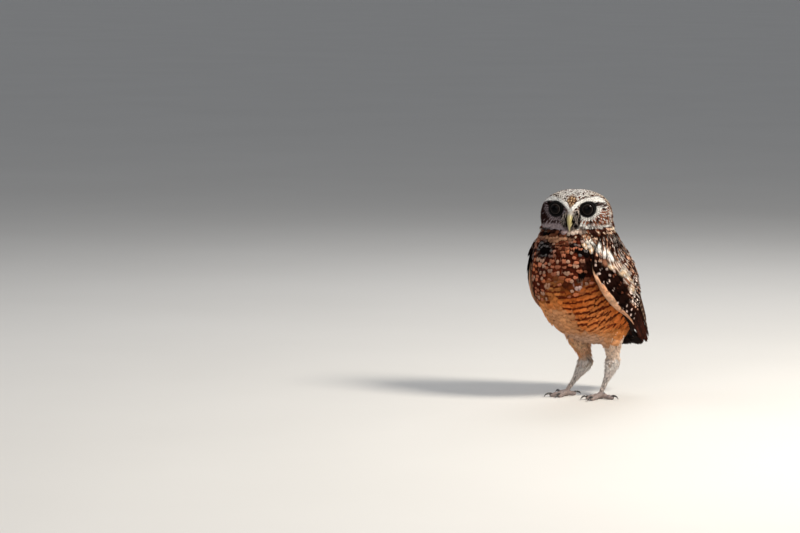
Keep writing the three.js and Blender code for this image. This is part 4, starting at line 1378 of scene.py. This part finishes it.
def leg_coats(ground):
    for name, leg in LEGS.items():
        place, t, turn, lie = limb_roots(thigh_line(leg), thigh_reach, THIGH_DEPTH, 3.3)
        roots, near = rooted(ground, place, 1.3)
        roots, t, turn, lie = cut(near, roots, t, turn, lie)
        count, where = len(t), np.stack([turn / (2 * np.pi) % 1, t], 1)
        # The right thigh, on the shaded side, is darker and more orange than the left: painted shade.
        pale, orange = ((255, 228, 206), 0.12) if name == "left" else ((240, 184, 134), 0.55)
        base = painted(srgb(*pale), ORANGE, orange * cloudy(roots, 9.0))
        inner = ramp(0.3, -0.5, np.cos(turn) * leg["hand"])
        base = painted(base, GREYISH, np.clip(0.9 * ramp(0.6, 0.9, t) + 0.35 * inner, 0, 1))
        half = 2.3 * vary(count, 0.85, 1.15)
        lines = ground.march(roots, lie + RNG.normal(0, 0.12, (count, 3)), vary(count, 9, 12.5), half)
        batch = vanes(
            comb(2, 8, 0.72), *lines[:2], half, root=-0.4, tip=vary(count, 1.7, 2.5), sag=lines[2],
            thick=0.25, rounding=0.5, narrow=0.45, ragged=0.25, splay=0.9, curl=vary(count, -0.2, 0.9),
        )
        look = Look(count, base, base * 0.7, streak=0.3)
        Coat("coat_thigh_" + name, "plumage_thigh").add(batch, look, where).build()

        place, t, turn, lie = limb_roots(shank_line(leg), shank_reach, SHANK_DEPTH, 1.6)
        roots, near = rooted(ground, place, 0.9)
        roots, t, turn, lie = cut(near & (roots[:, 2] > 5.5), roots, t, turn, lie)
        count, where = len(t), np.stack([turn / (2 * np.pi) % 1, t], 1)
        base = painted(srgb(255, 247, 240), srgb(232, 214, 206), 0.6 * cloudy(roots, 6.0))
        # Darker towards the foot: painted shade under the body.
        base = painted(base, srgb(196, 174, 164), 0.6 * ramp(0.3, 0.9, t))
        half = mix(1.7, 0.9, t) * vary(count, 0.85, 1.15)
        length = mix(10.0, 5.5, t) * vary(count, 0.8, 1.2)
        lines = ground.march(roots, lie + RNG.normal(0, 0.14, (count, 3)), length, half)
        batch = vanes(
            comb(1, 5, 0.4), *lines[:2], half, root=-0.25, tip=mix(2.6, 0.6, t**0.7), sag=lines[2],
            thick=0.2, rounding=0.5, narrow=0.5, ragged=0.3, splay=1.0,
            curl=vary(count, -0.1, 1.2) * mix(1.6, 0.6, t),
        )
        look = Look(count, base, base, streak=0.2)
        Coat("coat_shank_" + name, "plumage_shank").add(batch, look, where).build()


# Wings.
MORE_COVERTS = {"left": 1, "right": 4}
# The right wing's feathers lie lower. The strip along its edge is lower too, further forward and wider.
LOWER = {"left": 0, "right": 2.4}
EDGE_LOWER = {"left": -0.4, "right": 2.2}
EDGE_FORWARD = {"left": -0.5, "right": 3.4}
EDGE_HALF = {"left": 2.0, "right": 2.8}

# The wings' rows of feathers, from the leading edge backwards or from the back forwards. Roots and tips are
# stations down the cloak, each tip tip_each further than the last; offs and steps are mm across the wing, to
# the first feather and from each to the next, at roots and at tips; combs are rows, barbs and slit.
Tier = namedtuple(
    "Tier", "name count root tip tip_each root_off root_step tip_off tip_step lift comb wide from_back",
    defaults=(None, False),
)
TIERS = [
    Tier("primaries", 9, 4.9, 8.1, 0, 4, 3.6, 2.4, 2.7, 2.0, (9, 9, 0.93), wide=3.3),
    Tier("secondaries", 9, 4.4, 7.4, -0.09, 31, 5.2, 20, 4.3, 2.4, (9, 9, 0.92), wide=4.2),
    Tier("greater", 12, 3.7, 5.45, -0.05, 5, 4.9, 5.0, 4.8, 2.1, (6, 8, 0.88)),
    Tier("median", 13, 3.2, 4.55, -0.03, 4.5, 4.7, 4.6, 4.8, 2.4, (5, 8, 0.86)),
    Tier("lesser", 13, 2.7, 3.95, -0.02, 4.6, 4.5, 5, 4.7, 2.6, (5, 8, 0.84)),
    Tier("small", 13, 2.3, 3.4, -0.02, 4.6, 4.4, 5, 4.6, 2.7, (4, 8, 0.84)),
    Tier("least", 13, 1.9, 2.9, -0.02, 4.6, 4.3, 5, 4.5, 2.7, (4, 8, 0.84)),
    Tier("upper", 13, 1.5, 2.42, -0.02, 4.3, 4.2, 4.6, 4.4, 2.6, (4, 8, 0.84)),
    Tier("shoulder", 13, 1.1, 1.98, -0.02, 4.0, 4.1, 4.2, 4.2, 2.4, (4, 8, 0.84)),
    Tier("top", 12, 0.7, 1.55, -0.02, 3.0, 4.0, 3.4, 4.2, 2.2, (4, 8, 0.84)),
    Tier("neck_side", 10, 0.7, 1.15, -0.01, 5.0, 4.0, 5.0, 4.2, 1.6, (3, 8, 0.84)),
    Tier("long_scapulars", 7, 2.3, 4.9, 0.2, 4, 6.2, 3.6, 4.6, 3.0, (7, 8, 0.88), from_back=True),
    Tier("scapulars", 8, 1.6, 3.7, 0.1, 3.5, 5.8, 3.4, 5.4, 3.3, (5, 8, 0.86), from_back=True),
    Tier("short_scapulars", 8, 1.0, 2.6, 0.05, 3.2, 5.5, 3.2, 5.6, 3.2, (4, 8, 0.84), from_back=True),
    Tier("mantle", 8, 0.5, 1.75, 0.03, 3.0, 5.2, 3.0, 5.4, 2.6, (4, 8, 0.84), from_back=True),
    Tier("upper_mantle", 8, 0.75, 1.25, 0.02, 2.6, 5.0, 2.8, 5.2, 1.8, (3, 8, 0.84), from_back=True),
]


def wing_look(tier, angle, z, chance, other, third):
    """Brown with cream marks over the back, nearly black with pale dots by the leading edge, where painted
    shade deepens the coverts' dark brown, and a streaky cream arc between them."""
    count, u = len(z), angle * MM_PER_DEGREE
    ground = painted(srgb(36, 17, 12), BROWN, 0.6 * chance**1.5)
    look = Look(count, ground, painted(srgb(218, 168, 138), WHITE, 0.65 * (third > 0.6)))
    look.lay(
        1, spots=0.95 * (chance > 0.12), streak=0.5 * (other > 0.7), offset=0.4 + 1.8 * third,
        period=6 + 3 * other,
    )
    look.lay(1, wide=0.7 + 0.5 * other, long=1.2 + 1.4 * chance, fringe=0.4 * (third > 0.75))
    streaky = on("streaky_wing", u, z)
    look.lay(
        streaky, ground=painted(COCOA, BLACK, 0.5), mark=painted(srgb(232, 198, 178), WHITE, 0.7 * other),
    )
    look.lay(
        streaky > 0.5, spots=0.95 * (chance > 0.15), wide=0.8 + 0.3 * other, long=2.0 + third,
        offset=1.5 * (other > 0.4),
    )
    # The coverts by the leading edge: painted shade makes them nearly black and dims their spots.
    border = np.interp(z, [103, 133, 140, 148, 154], [3, 3, -5, -17, -30])
    dark = ramp(border + 4, border - 4, angle - 5 * (other - 0.5))
    mark = choose(chance > 0.35, srgb(190, 166, 156), srgb(112, 62, 44))
    look.lay(dark, ground=srgb(22, 7, 4), mark=mark, spots=0.95 * (other > 0.3), streak=0)
    look.lay(
        dark > 0.5, fringe=0, wide=1.0 + 0.7 * chance, long=1.2 + 0.6 * other, period=9 + 3 * third,
        offset=1.7 * (third > 0.5),
    )
    arc = np.maximum(on("arc_top", u, z), on("arc_middle", u, z))
    arc = np.maximum(arc, on("arc_end", u, z))
    tan = painted(srgb(206, 176, 146), BROWN, 0.85 * (other < 0.5))
    look.lay(arc, ground=tan, mark=painted(CREAM, WHITE, chance), fringe=0.75 * (third > 0.35))
    look.lay(arc > 0.5, streak=0.7 * (chance < 0.6), spots=0.9 * (other > 0.5), wide=0.8, long=2.4)
    white_band(look, u, z, chance, other)
    # The primaries' dark brown is deepened to nearly black by painted shade.
    if tier.name == "primaries":
        look.lay(1, ground=painted(srgb(17, 6, 4), BROWN, 0.15 * chance), mark=srgb(104, 44, 26))
        look.lay(
            1, spots=0.5 * (other > 0.3), streak=0.3, fringe=0.12, offset=2.4, wide=1.0, long=1.4,
            period=8 + 4 * third,
        )
    if tier.name == "secondaries":
        look.lay(1, ground=painted(srgb(42, 20, 15), BROWN, 0.4 * chance), mark=srgb(206, 172, 144))
        look.lay(
            1, spots=0.9 * (other > 0.15), streak=0, fringe=0.15, offset=1.8 + third, wide=1.2, long=1.1,
            period=7.5,
        )
    return look


def wing_lines(side, at, angle):
    """Middle lines on the cloak with their normals."""
    places = cloak_point(side, at, angle)
    return places, unit(cloak_point(side, at, angle, 1.0) - places)


def across_wing(side, at, distance):
    return between(LEADING_EDGES[side], at) + np.degrees(distance / girth(at))


def tier_batch(side, tier):
    """One tier of a wing with its looks. It is laid on the left and mirrored for the right."""
    long = tier.wide is not None
    count = tier.count + (0 if tier.from_back or long else MORE_COVERTS[side])
    order = np.arange(count)
    place = (count - 1 - order if tier.from_back else order) + vary(count, -0.2, 0.2)
    share = np.linspace(0, 1, 9)[None]
    tip = tier.tip + tier.tip_each * order + vary(count, -0.11, 0.11) * (0.5 if long else 1)
    if tier.name == "primaries":
        tip = tip - 0.95 * np.exp(-order / 2)
    at = mix(tier.root, tip[:, None], share)
    off = mix(tier.root_off, tier.tip_off, share)
    off = off + mix(tier.root_step, tier.tip_step, share) * place[:, None]
    off = off + share**2 * vary((count, 1), -0.8, 0.8)
    angle = 90 - np.degrees(off / girth(at)) if tier.from_back else across_wing(side, at, off)
    places, normals = wing_lines(side, at, angle)
    half = (tier.wide or 0.8 * mix(tier.root_step, tier.tip_step, 0.6)) * vary(count, 0.92, 1.1)
    batch = vanes(
        comb(*tier.comb), places, normals, half, root=-1.6,
        tip=tier.lift - LOWER[side] * ramp(1.6, 3.4, tip) + vary(count, -0.2, 0.3),
        sag=-(half**2) / 100, thick=0.35, rounding=0.12 if long else 0.26, narrow=0.75,
        taper=0.2 if long else 0.1, ragged=0.03 if long else 0.07, splay=0.3, roll=0.4,
        curl=vary(count, -0.2, 0.5),
    )
    corners = mix(places[:, -2][:, None], batch["points"], 0.75).reshape(-1, 3)
    draws = [np.repeat(vary(count, 0, 1), batch["points"].shape[1]) for _ in range(3)]
    at_angle = round_angle(corners, CLOAK_FORWARD, CLOAK_UP, CLOAK_SIDE[side], CLOAK_BELLY[side], CLOAK_BACK)
    return batch, wing_look(tier, at_angle, corners[:, 2], *draws)


def edge_batches(side):
    """The pale strip along the wing's leading edge: one long feather under a row of small ones."""
    share = np.linspace(0, 1, 12)[None]
    at = mix(2.3, 5.75, share)
    lower, forward = EDGE_LOWER[side], EDGE_FORWARD[side]
    places, normals = wing_lines(side, at, across_wing(side, at, 1.3 - forward))
    strip = vanes(
        comb(16, 5, 0.95), places, normals, np.array([EDGE_HALF[side]]), root=-0.8 - lower, tip=1.1 - lower,
        sag=-0.3, thick=0.4, taper=0.6, narrow=0.5, ragged=0.02, rounding=0.15,
    )
    count = EDGE_FEATHERS
    start = np.linspace(1.95, 4.45, count) + vary(count, -0.04, 0.04)
    at = start[:, None] + np.linspace(0, 0.85, 5)[None]
    wide = 0.9 + 2.5 * np.exp(-(((start - 2.95) / 0.75) ** 2))
    off = 0.2 + wide * 0.8 + vary(count, -0.2, 0.5)
    places, normals = wing_lines(side, at, across_wing(side, at, off[:, None] - forward))
    small = vanes(
        comb(4, 6, 0.82), places, normals, wide, root=-0.2 - lower, tip=vary(count, 2.0, 2.6) - lower,
        sag=-0.2, thick=0.3, narrow=0.6, ragged=0.1, rounding=0.3,
    )
    strip_look = Look(1, SALMON * 0.92, CREAM * 0.9, fringe=0.3)
    small_look = Look(count, painted(SALMON * 0.85, CREAM, vary(count, 0, 0.25)), CREAM, streak=0.1)
    return (strip, strip_look), (small, small_look)


def arm_batch(side):
    """The wing's arm under its feathers, a plate whose edges dip into the body's side."""
    rows, columns = 14, 12
    i, j = np.mgrid[0 : rows + 1, 0 : columns + 1] / [[[rows]], [[columns]]]
    at = mix(1.3, 6.35, i)
    angle = mix(between(LEADING_EDGES[side], at) + 2, 89, j)
    edge = np.minimum(np.minimum(i, 1 - i), j)
    top = cloak_point(side, at, angle, mix(-5, -0.5, ramp(0, 0.17, edge)))
    bottom = cloak_point(side, at, angle, -9.0 * np.ones_like(at))
    corners = np.concatenate([top.reshape(-1, 3), bottom.reshape(-1, 3)])
    under, wide = (rows + 1) * (columns + 1), columns + 1
    faces = []
    for r in range(rows):
        for c in range(columns):
            a, b = r * wide + c, (r + 1) * wide + c
            faces += [(a, a + 1, b + 1), (a, b + 1, b)]
            faces += [(under + a, under + b + 1, under + a + 1), (under + a, under + b, under + b + 1)]
    rim = [*range(wide)] + [r * wide + columns for r in range(1, rows + 1)]
    rim += [rows * wide + c for c in range(columns - 1, -1, -1)] + [r * wide for r in range(rows - 1, 0, -1)]
    for a, b in zip(rim, rim[1:] + rim[:1]):
        faces += [(a, under + a, under + b), (a, under + b, b)]
    vane = np.full((1, len(corners), 3), 0.5)
    batch = {"points": corners[None], "faces": np.array(faces)[:, ::-1], "vane": vane, "reach": vane * 6}
    return batch, Look(1, srgb(40, 28, 24), COCOA)


def wing_coats():
    for side in LEGS:
        coat = Coat("wing_feathers_" + side, "plumage_wing", ["wing_" + side])
        layers = [arm_batch(side), *edge_batches(side), *(tier_batch(side, tier) for tier in TIERS)]
        for row, (batch, look) in enumerate(layers):
            if side == "right":
                batch["points"] = batch["points"] * [-1, 1, 1]
                batch["faces"] = batch["faces"][:, ::-1]
            count = len(batch["points"])
            where = np.stack([(np.arange(count) + 0.5) / count, np.full(count, (row + 0.5) / len(layers))], 1)
            coat.add(batch, look, where)
        coat.build()


# The tail.
def tail_batch(root, tips, sideways, half, lift, shape, **more):
    share = np.linspace(0, 1, 7)[None]
    along = mix(root, np.asarray(tips, float)[:, None], share)
    across = np.asarray(sideways, float)[:, None] * mix(0.5, 1, share)
    across = across + TAIL_SWING * np.clip(along / TAIL_LENGTH, 0, 1)
    level = np.asarray(lift, float)[:, None] * np.ones_like(share)
    places = tail_point(along, across, level)
    normals = unit(tail_point(along, across, level + 1) - places)
    return vanes(comb(*shape), places, normals, half, root=0, tip=0, sag=-0.15, **more)


def tail_coat():
    coat = Coat("tail_feathers", "plumage_tail", ["tail"])
    for hand, count in ((1, 7), (-1, 6)):
        n = np.arange(count)
        sideways = 3.2 + 3.1 * n if hand > 0 else -(1.5 + 2.4 * n)
        tips = TAIL_LENGTH - 0.5 * n - (0.2 if hand > 0 else 0.12) * n**2 + vary(count, -0.4, 0.4)
        lift = (-0.4 * (n + 1) if hand > 0 else -1.15 * n) + 0.1
        batch = tail_batch(
            -4, tips, sideways, np.full(count, 4.5), lift, (10, 9, 0.94),
            thick=0.4, rounding=0.12, narrow=0.5, ragged=0.03,
        )
        # The tail's dark brown and its bars are deepened by painted shade under the body.
        base = painted(srgb(9, 5, 4), COCOA, vary(count, 0, 0.3))
        bars = Look(count, base, srgb(70, 46, 36), spots=0.4, wide=3.0, long=1.0, offset=2.4, period=9.0)
        coat.add(batch, bars, np.stack([0.5 + hand * (0.04 + 0.07 * n), np.full(count, 0.5)], 1))
    for row, (reach, lift, count) in enumerate(((36, 1.0, 7), (29, 1.8, 7), (22, 2.5, 7))):
        n = np.arange(count) - (count - 1) / 2
        for under in (False, True):
            height = 0.04 * (n * 4.4) ** 2 * (1 if under else -0.7)
            height = height + (-6.6 - 0.4 * row if under else lift + 0.3 * (np.arange(count) % 2))
            batch = tail_batch(
                -8, reach - np.abs(n) + (3 if under else 0), n * 4.4, np.full(count, 4.2), height,
                (4, 8, 0.82), thick=0.3, rounding=0.35, ragged=0.1,
            )
            # The under-tail coverts are nearly black in place of their pale colour: painted shade.
            base = srgb(15, 8, 6) if under else COCOA
            look = Look(count, base, CREAM, spots=0 if under else 0.9, wide=1.3, long=1.5)
            level = np.full(count, 0.1 + 0.1 * row + 0.5 * under)
            where = np.stack([0.2 + 0.08 * np.arange(count), level], 1)
            coat.add(batch, look, where)
    coat.build()
    root = limb_mesh(
        [tail_point(a, 0, h) for a, h in ((-14, -4), (4, -3.5), (18, -3.5), (31, -4))], SIDEWAYS,
        lambda t: mix(15, 10, t) * (1 - 0.7 * t**6), lambda t: mix(9, 3.4, t) * (1 - 0.7 * t**6), 24, 16, 0.1,
    )
    made = make_object("tail_root", *root, SKIN, "plumage_tail")
    set_colours(made.data, "ground", np.tile([*srgb(70, 50, 40), 1], (len(made.data.vertices), 1)))


# Eyes, bill, bristles.
def eyes():
    material = eye_material()
    for name, hand in (("left", 1), ("right", -1)):
        middle, sight, _ = eye_frame(hand)
        centre, axis = from_head(middle), TURN @ sight
        corners, faces = ball(centre, axis, EYE_RADIUS, 48, 64)
        made = make_object("eyeball_" + name, corners, faces, material, "eye", ["eye_" + name])
        offset = corners - centre
        out = np.sqrt(np.maximum(EYE_RADIUS**2 - (offset @ axis) ** 2, 0))
        out = np.where(offset @ axis > 0, out, EYE_RADIUS)
        side = unit(np.cross(axis, [0, 0, 1.0]))
        turn = np.arctan2(offset[:, 2], offset @ side)
        set_vectors(made.data, "rings", np.stack([out, turn, 0 * out], 1))
        set_vectors(made.data, "fibres", np.stack([np.cos(turn), np.sin(turn), out * 0.04], 1))


def bills():
    material = bill_material()

    def culmen(t, angle):
        pinch = 1 - 0.16 * np.maximum(np.sin(angle), 0) ** 2 * ramp(0.0, 0.3, t) * np.abs(np.cos(angle))
        cere = 1 + 0.07 * bell(t - 0.13, 0.1)
        return pinch * cere

    upper = [(0, -27, 2), (0, -33.5, 1), (0, -38.5, -4), (0, -39.3, -9.5), (0, -37.2, -15.5)]
    wide, deep = lambda t: mix(3.7, 0.3, t**1.5), lambda t: mix(4.4, 0.35, t**1.5)
    corners, faces = limb_mesh(upper, SIDEWAYS, wide, deep, 40, 64, 0.05, culmen)
    # The nostrils: dents painted nearly black, as painted shade in their holes.
    dark = np.zeros(len(corners))
    for hand in (1, -1):
        hole = np.array([hand * 3.3, -34.6, 0.9])
        near = bell(np.linalg.norm((corners - hole) * [1, 0.8, 1.2], axis=1), 0.85)
        corners[:, 0] -= hand * 1.1 * near
        dark = np.maximum(dark, near)
    lower = [(0, -26, -5), (0, -31, -6.8), (0, -35.4, -10.8)]
    wide, deep = lambda t: mix(3, 0.9, t * t), lambda t: mix(2.2, 0.5, t * t)
    under = limb_mesh(lower, SIDEWAYS, wide, deep, 32, 32, 0.1)
    for name, mesh, shade in (
        ("bill_upper", (corners, faces), dark), ("bill_lower", under, 0 * under[0][:, 0]),
    ):
        points = mesh[0]
        made = make_object("horn_" + name, from_head(points), mesh[1], material, "bill", [name])
        along = np.clip((-points[:, 2] + 4) / 19, 0, 1)
        if name == "bill_upper":
            along = np.clip(mix(along, (-points[:, 1] - 29) / 12, 0.35), 0, 1)
        set_vectors(made.data, "horn", np.stack([along, shade, 0 * along], 1))
        set_vectors(made.data, "grain", np.stack([points[:, 0] * 1.6, along * 0.8, points[:, 2] * 0.1], 1))


def bristles(ground):
    """Fine bristles round the bill's base, curving forwards and down beside it."""
    count = BRISTLES
    hand = np.where(np.arange(count) % 2 == 0, 1, -1)
    z = vary(count, -7, 6)
    side = vary(count, 3.6, 8.0)
    p = np.stack([hand * side, np.full(count, -30.0), z], 1)
    roots, normals = ground.nearest(from_head(p))
    length = vary(count, 5.0, 9.0)
    out = np.stack([hand * vary(count, -0.25, 0.35), vary(count, -0.75, -0.4), vary(count, -1.0, -0.55)], 1)
    out = unit(out) @ TURN.T
    share = np.linspace(0, 1, 5)[None, :, None]
    lines = roots[:, None] + normals[:, None] * (2.2 * share * (1 - 0.6 * share))
    lines = lines + out[:, None] * (share**1.1 * length[:, None, None])
    normal = np.repeat(normals[:, None], 5, 1)
    batch = vanes(
        comb(4, 1, 0.8), lines, normal, vary(count, 0.2, 0.3), root=-0.2, tip=0.3,
        thick=0.16, narrow=1.0, taper=0.7, rounding=0, ragged=0.0, splay=0,
    )
    dark = vary(count, 0, 1) > 0.45
    base = choose(dark, BLACK, srgb(190, 176, 166))
    where = np.stack([0.5 + hand * side / 60, 0.5 + z / 60], 1)
    Coat("bristles", "plumage_head").add(batch, Look(count, base, base), where).build()


# Feet.
def toe_points(leg, turn, heights):
    """Points out from the ankle along a toe, as (distance, height) pairs say."""
    angle = math.radians(leg["turn"] * leg["hand"] + turn) * leg["hand"]
    out = np.array([math.sin(angle), -math.cos(angle), 0])
    ankle = in_body(*leg["foot"])
    across = np.cross([0, 0, 1.0], out)
    return [ankle * [1, 1, 0] + out * d + [0, 0, h] for d, h in heights], across


def toe_mesh(leg, turn, length):
    path, across = toe_points(
        leg, turn, [(-1, 4.6), (length * 0.35, 3.3), (length * 0.7, TOE_AXIS + 0.3), (length + 1, TOE_AXIS)]
    )
    scutes = max(int(length / 1.5), 6)

    def shape(t, angle):
        upper = np.clip(np.sin(angle), 0, 1)
        lower = np.clip(-np.sin(angle), 0, 1)
        plates = 0.1 * np.abs(np.sin(math.pi * scutes * t)) ** 0.6 * upper**0.5
        pads = 0.09 * np.cos(19 * t) * lower
        return 0.94 + plates + pads

    reach = lambda t: TOE_RADIUS * (1 + 0.05 * np.cos(t * 19)) * (1 - 0.5 * t**9)
    return limb_mesh(path, across, reach, reach, 28, 72, 0.12, shape)


def claw_mesh(leg, turn, length, claw):
    start = length - 2
    path, across = toe_points(
        leg, turn, [(start, 3), (start + claw * 0.38, 4.1), (start + claw * 0.8, 3.1), (start + claw, 0.75)]
    )
    reach = lambda t: mix(1.35, 0.14, t**1.2)
    deep = lambda t: mix(1.5, 0.14, t**1.2)
    return limb_mesh(path, across, reach, deep, 16, 28, 0.06)


def feet():
    foot_skin, horn = foot_material(), claw_material()
    for name, leg in LEGS.items():
        ankle = in_body(*leg["foot"])
        pad = ball(ankle * [1, 1, 0] + [0, 0, 3.6], np.array([0, -1.0, 0]), 3.9, 20, 24)
        parts = [pad] + [toe_mesh(leg, turn, length) for _, turn, length, _ in TOES]
        made = voxel_joined("toes_" + name, parts, FOOT_VOXEL, 1)
        for v in made.data.vertices:
            v.co.z = max(v.co.z, 0.0)
        finished(made, foot_skin, "scaly_skin", ["foot_" + name])
        for toe, turn, length, claw in TOES:
            corners, faces = claw_mesh(leg, turn, length, claw)
            node = f"claw_{toe}_{name}"
            made = make_object("horn_" + node, corners, faces, horn, "claw", [node])
            along = np.clip(np.linalg.norm(corners - corners[-2], axis=1) / claw, 0, 1)
            set_vectors(made.data, "horn", np.stack([along, 0 * along, 0 * along], 1))


# Skin object, from which the coat grows.
def make_skin():
    made = voxel_joined("skin", flesh_parts(), SKIN_VOXEL, 6)
    ground = Ground(corners_of(made), [tuple(p.vertices) for p in made.data.polygons])
    boolean(made, "UNION", [lid_ring(1), lid_ring(-1)])
    eyes_at = [eye_frame(hand) for hand in (1, -1)]
    balls = [ball(from_head(middle), TURN @ sight, EYE_RADIUS + 0.05) for middle, sight, _ in eyes_at]
    boolean(made, "DIFFERENCE", balls)
    nodes = ["head", "neck", "torso"] + [f"{part}_{side}" for part in ("thigh", "tarsus") for side in LEGS]
    finished(made, SKIN, "plumage_body", nodes)
    return made, ground


SAMPLED = 17


def colour_skin(skin):
    """The skin takes the coat's ground colour near it, darkened as painted shade under the feathers, from
    every so many corners of the coat.
    """
    places, colours = [], []
    for made in bpy.data.objects:
        if not made.name.startswith("coat_"):
            continue
        places.append(read(made.data.vertices, "co", 3)[::SAMPLED])
        colours.append(read(made.data.attributes["ground"].data, "color", 4)[::SAMPLED])
    places, colours = np.concatenate(places), np.concatenate(colours)
    tree = KDTree(len(places))
    for i, place in enumerate(places):
        tree.insert(place, i)
    tree.balance()
    nearest = [tree.find(v.co)[1] for v in skin.data.vertices]
    shade = colours[nearest] * [0.55, 0.55, 0.55, 1]
    p = to_head(corners_of(skin))
    to_eye = np.hypot(np.abs(p[:, 0]) - EYE_OUT, p[:, 2] - EYE_UP)
    lids = (ramp(9.4, 8.4, to_eye) * (p[:, 1] < -12))[:, None]
    set_colours(skin.data, "ground", mix(shade, [*srgb(9, 8, 8), 1], lids))


# Stage, lights and camera.
def direction(azimuth, elevation):
    return Vector(
        (
            math.sin(azimuth) * math.cos(elevation),
            -math.cos(azimuth) * math.cos(elevation),
            math.sin(elevation),
        )
    )


def aim(made, target):
    made.rotation_mode = "QUATERNION"
    made.rotation_quaternion = (Vector(target) - made.location).to_track_quat("-Z", "Y")


def camera():
    back = direction(CAMERA_AZIMUTH, CAMERA_ELEVATION)
    right = Vector((math.cos(CAMERA_AZIMUTH), math.sin(CAMERA_AZIMUTH), 0))
    up = back.cross(right)
    origin = Vector(to_row([0, 0, 0]))
    metres = MM_PER_PIXEL / 1000
    offset_x = (PHOTO_WIDTH / 2 - ORIGIN_PIXEL[0]) * metres
    offset_y = (ORIGIN_PIXEL[1] - PHOTO_HEIGHT / 2) * metres
    middle = origin + up * offset_y
    data = bpy.data.cameras.new("camera")
    made = placed("camera", data)
    made.location = middle + back * CAMERA_DISTANCE
    aim(made, middle + right * offset_x)
    depth = CAMERA_DISTANCE * math.cos(math.atan(offset_x / CAMERA_DISTANCE))
    data.sensor_width = SENSOR
    data.lens = SENSOR * depth / (PHOTO_WIDTH * metres)
    data.clip_end = 100
    bpy.context.scene.camera = made


# The point that the lights are turned to, in metres, and the lights: azimuth and elevation in degrees,
# distance and size in metres, power in watts, and colour.
LIT = Vector((0, 0, 0.12))
LIGHTS = {
    "key": (104, 44, 1.5, 0.4, 30, (1.0, 0.94, 0.84)),
    "front": (30, 25, 1.8, 1.2, 7, (1.0, 0.98, 0.95)),
    "left_fill": (-50, 30, 1.8, 1.2, 4, (0.92, 0.95, 1.0)),
    "back": (215, 45, 1.6, 0.9, 7, (0.95, 0.97, 1.0)),
}


def area_light(name, azimuth, elevation, distance, size, power, colour):
    data = bpy.data.lights.new(name, "AREA")
    data.energy, data.size, data.color = power, size, colour
    made = placed(name, data)
    made.location = LIT + direction(math.radians(azimuth), math.radians(elevation)) * distance
    aim(made, LIT)


def studio():
    far = FLOOR_REACH
    mesh = bpy.data.meshes.new("floor")
    mesh.from_pydata([(-far, -far, 0), (far, -far, 0), (far, far, 0), (-far, far, 0)], [], [(0, 1, 2, 3)])
    floor = placed("floor", mesh)
    g = Graph("floor")
    g.set(Base_Color=g.mix(g.noise(3.0, 5.0), (0.66, 0.64, 0.61, 1), (0.72, 0.70, 0.67, 1)), Roughness=0.75)
    mesh.materials.append(g.material)
    for name, values in LIGHTS.items():
        area_light(name, *values)
    world = bpy.data.worlds.new("studio")
    world.use_nodes = True
    background = world.node_tree.nodes["Background"].inputs
    background["Color"].default_value = (0.82, 0.86, 0.92, 1)
    background["Strength"].default_value = 0.3
    bpy.context.scene.world = world
    bpy.context.scene.view_settings.view_transform = "Standard"


# Assembly.
skin, flesh = make_skin()
head_coat(flesh)
body_coat(flesh)
leg_coats(flesh)
colour_skin(skin)
wing_coats()
tail_coat()
eyes()
bills()
bristles(flesh)
feet()
studio()
camera()
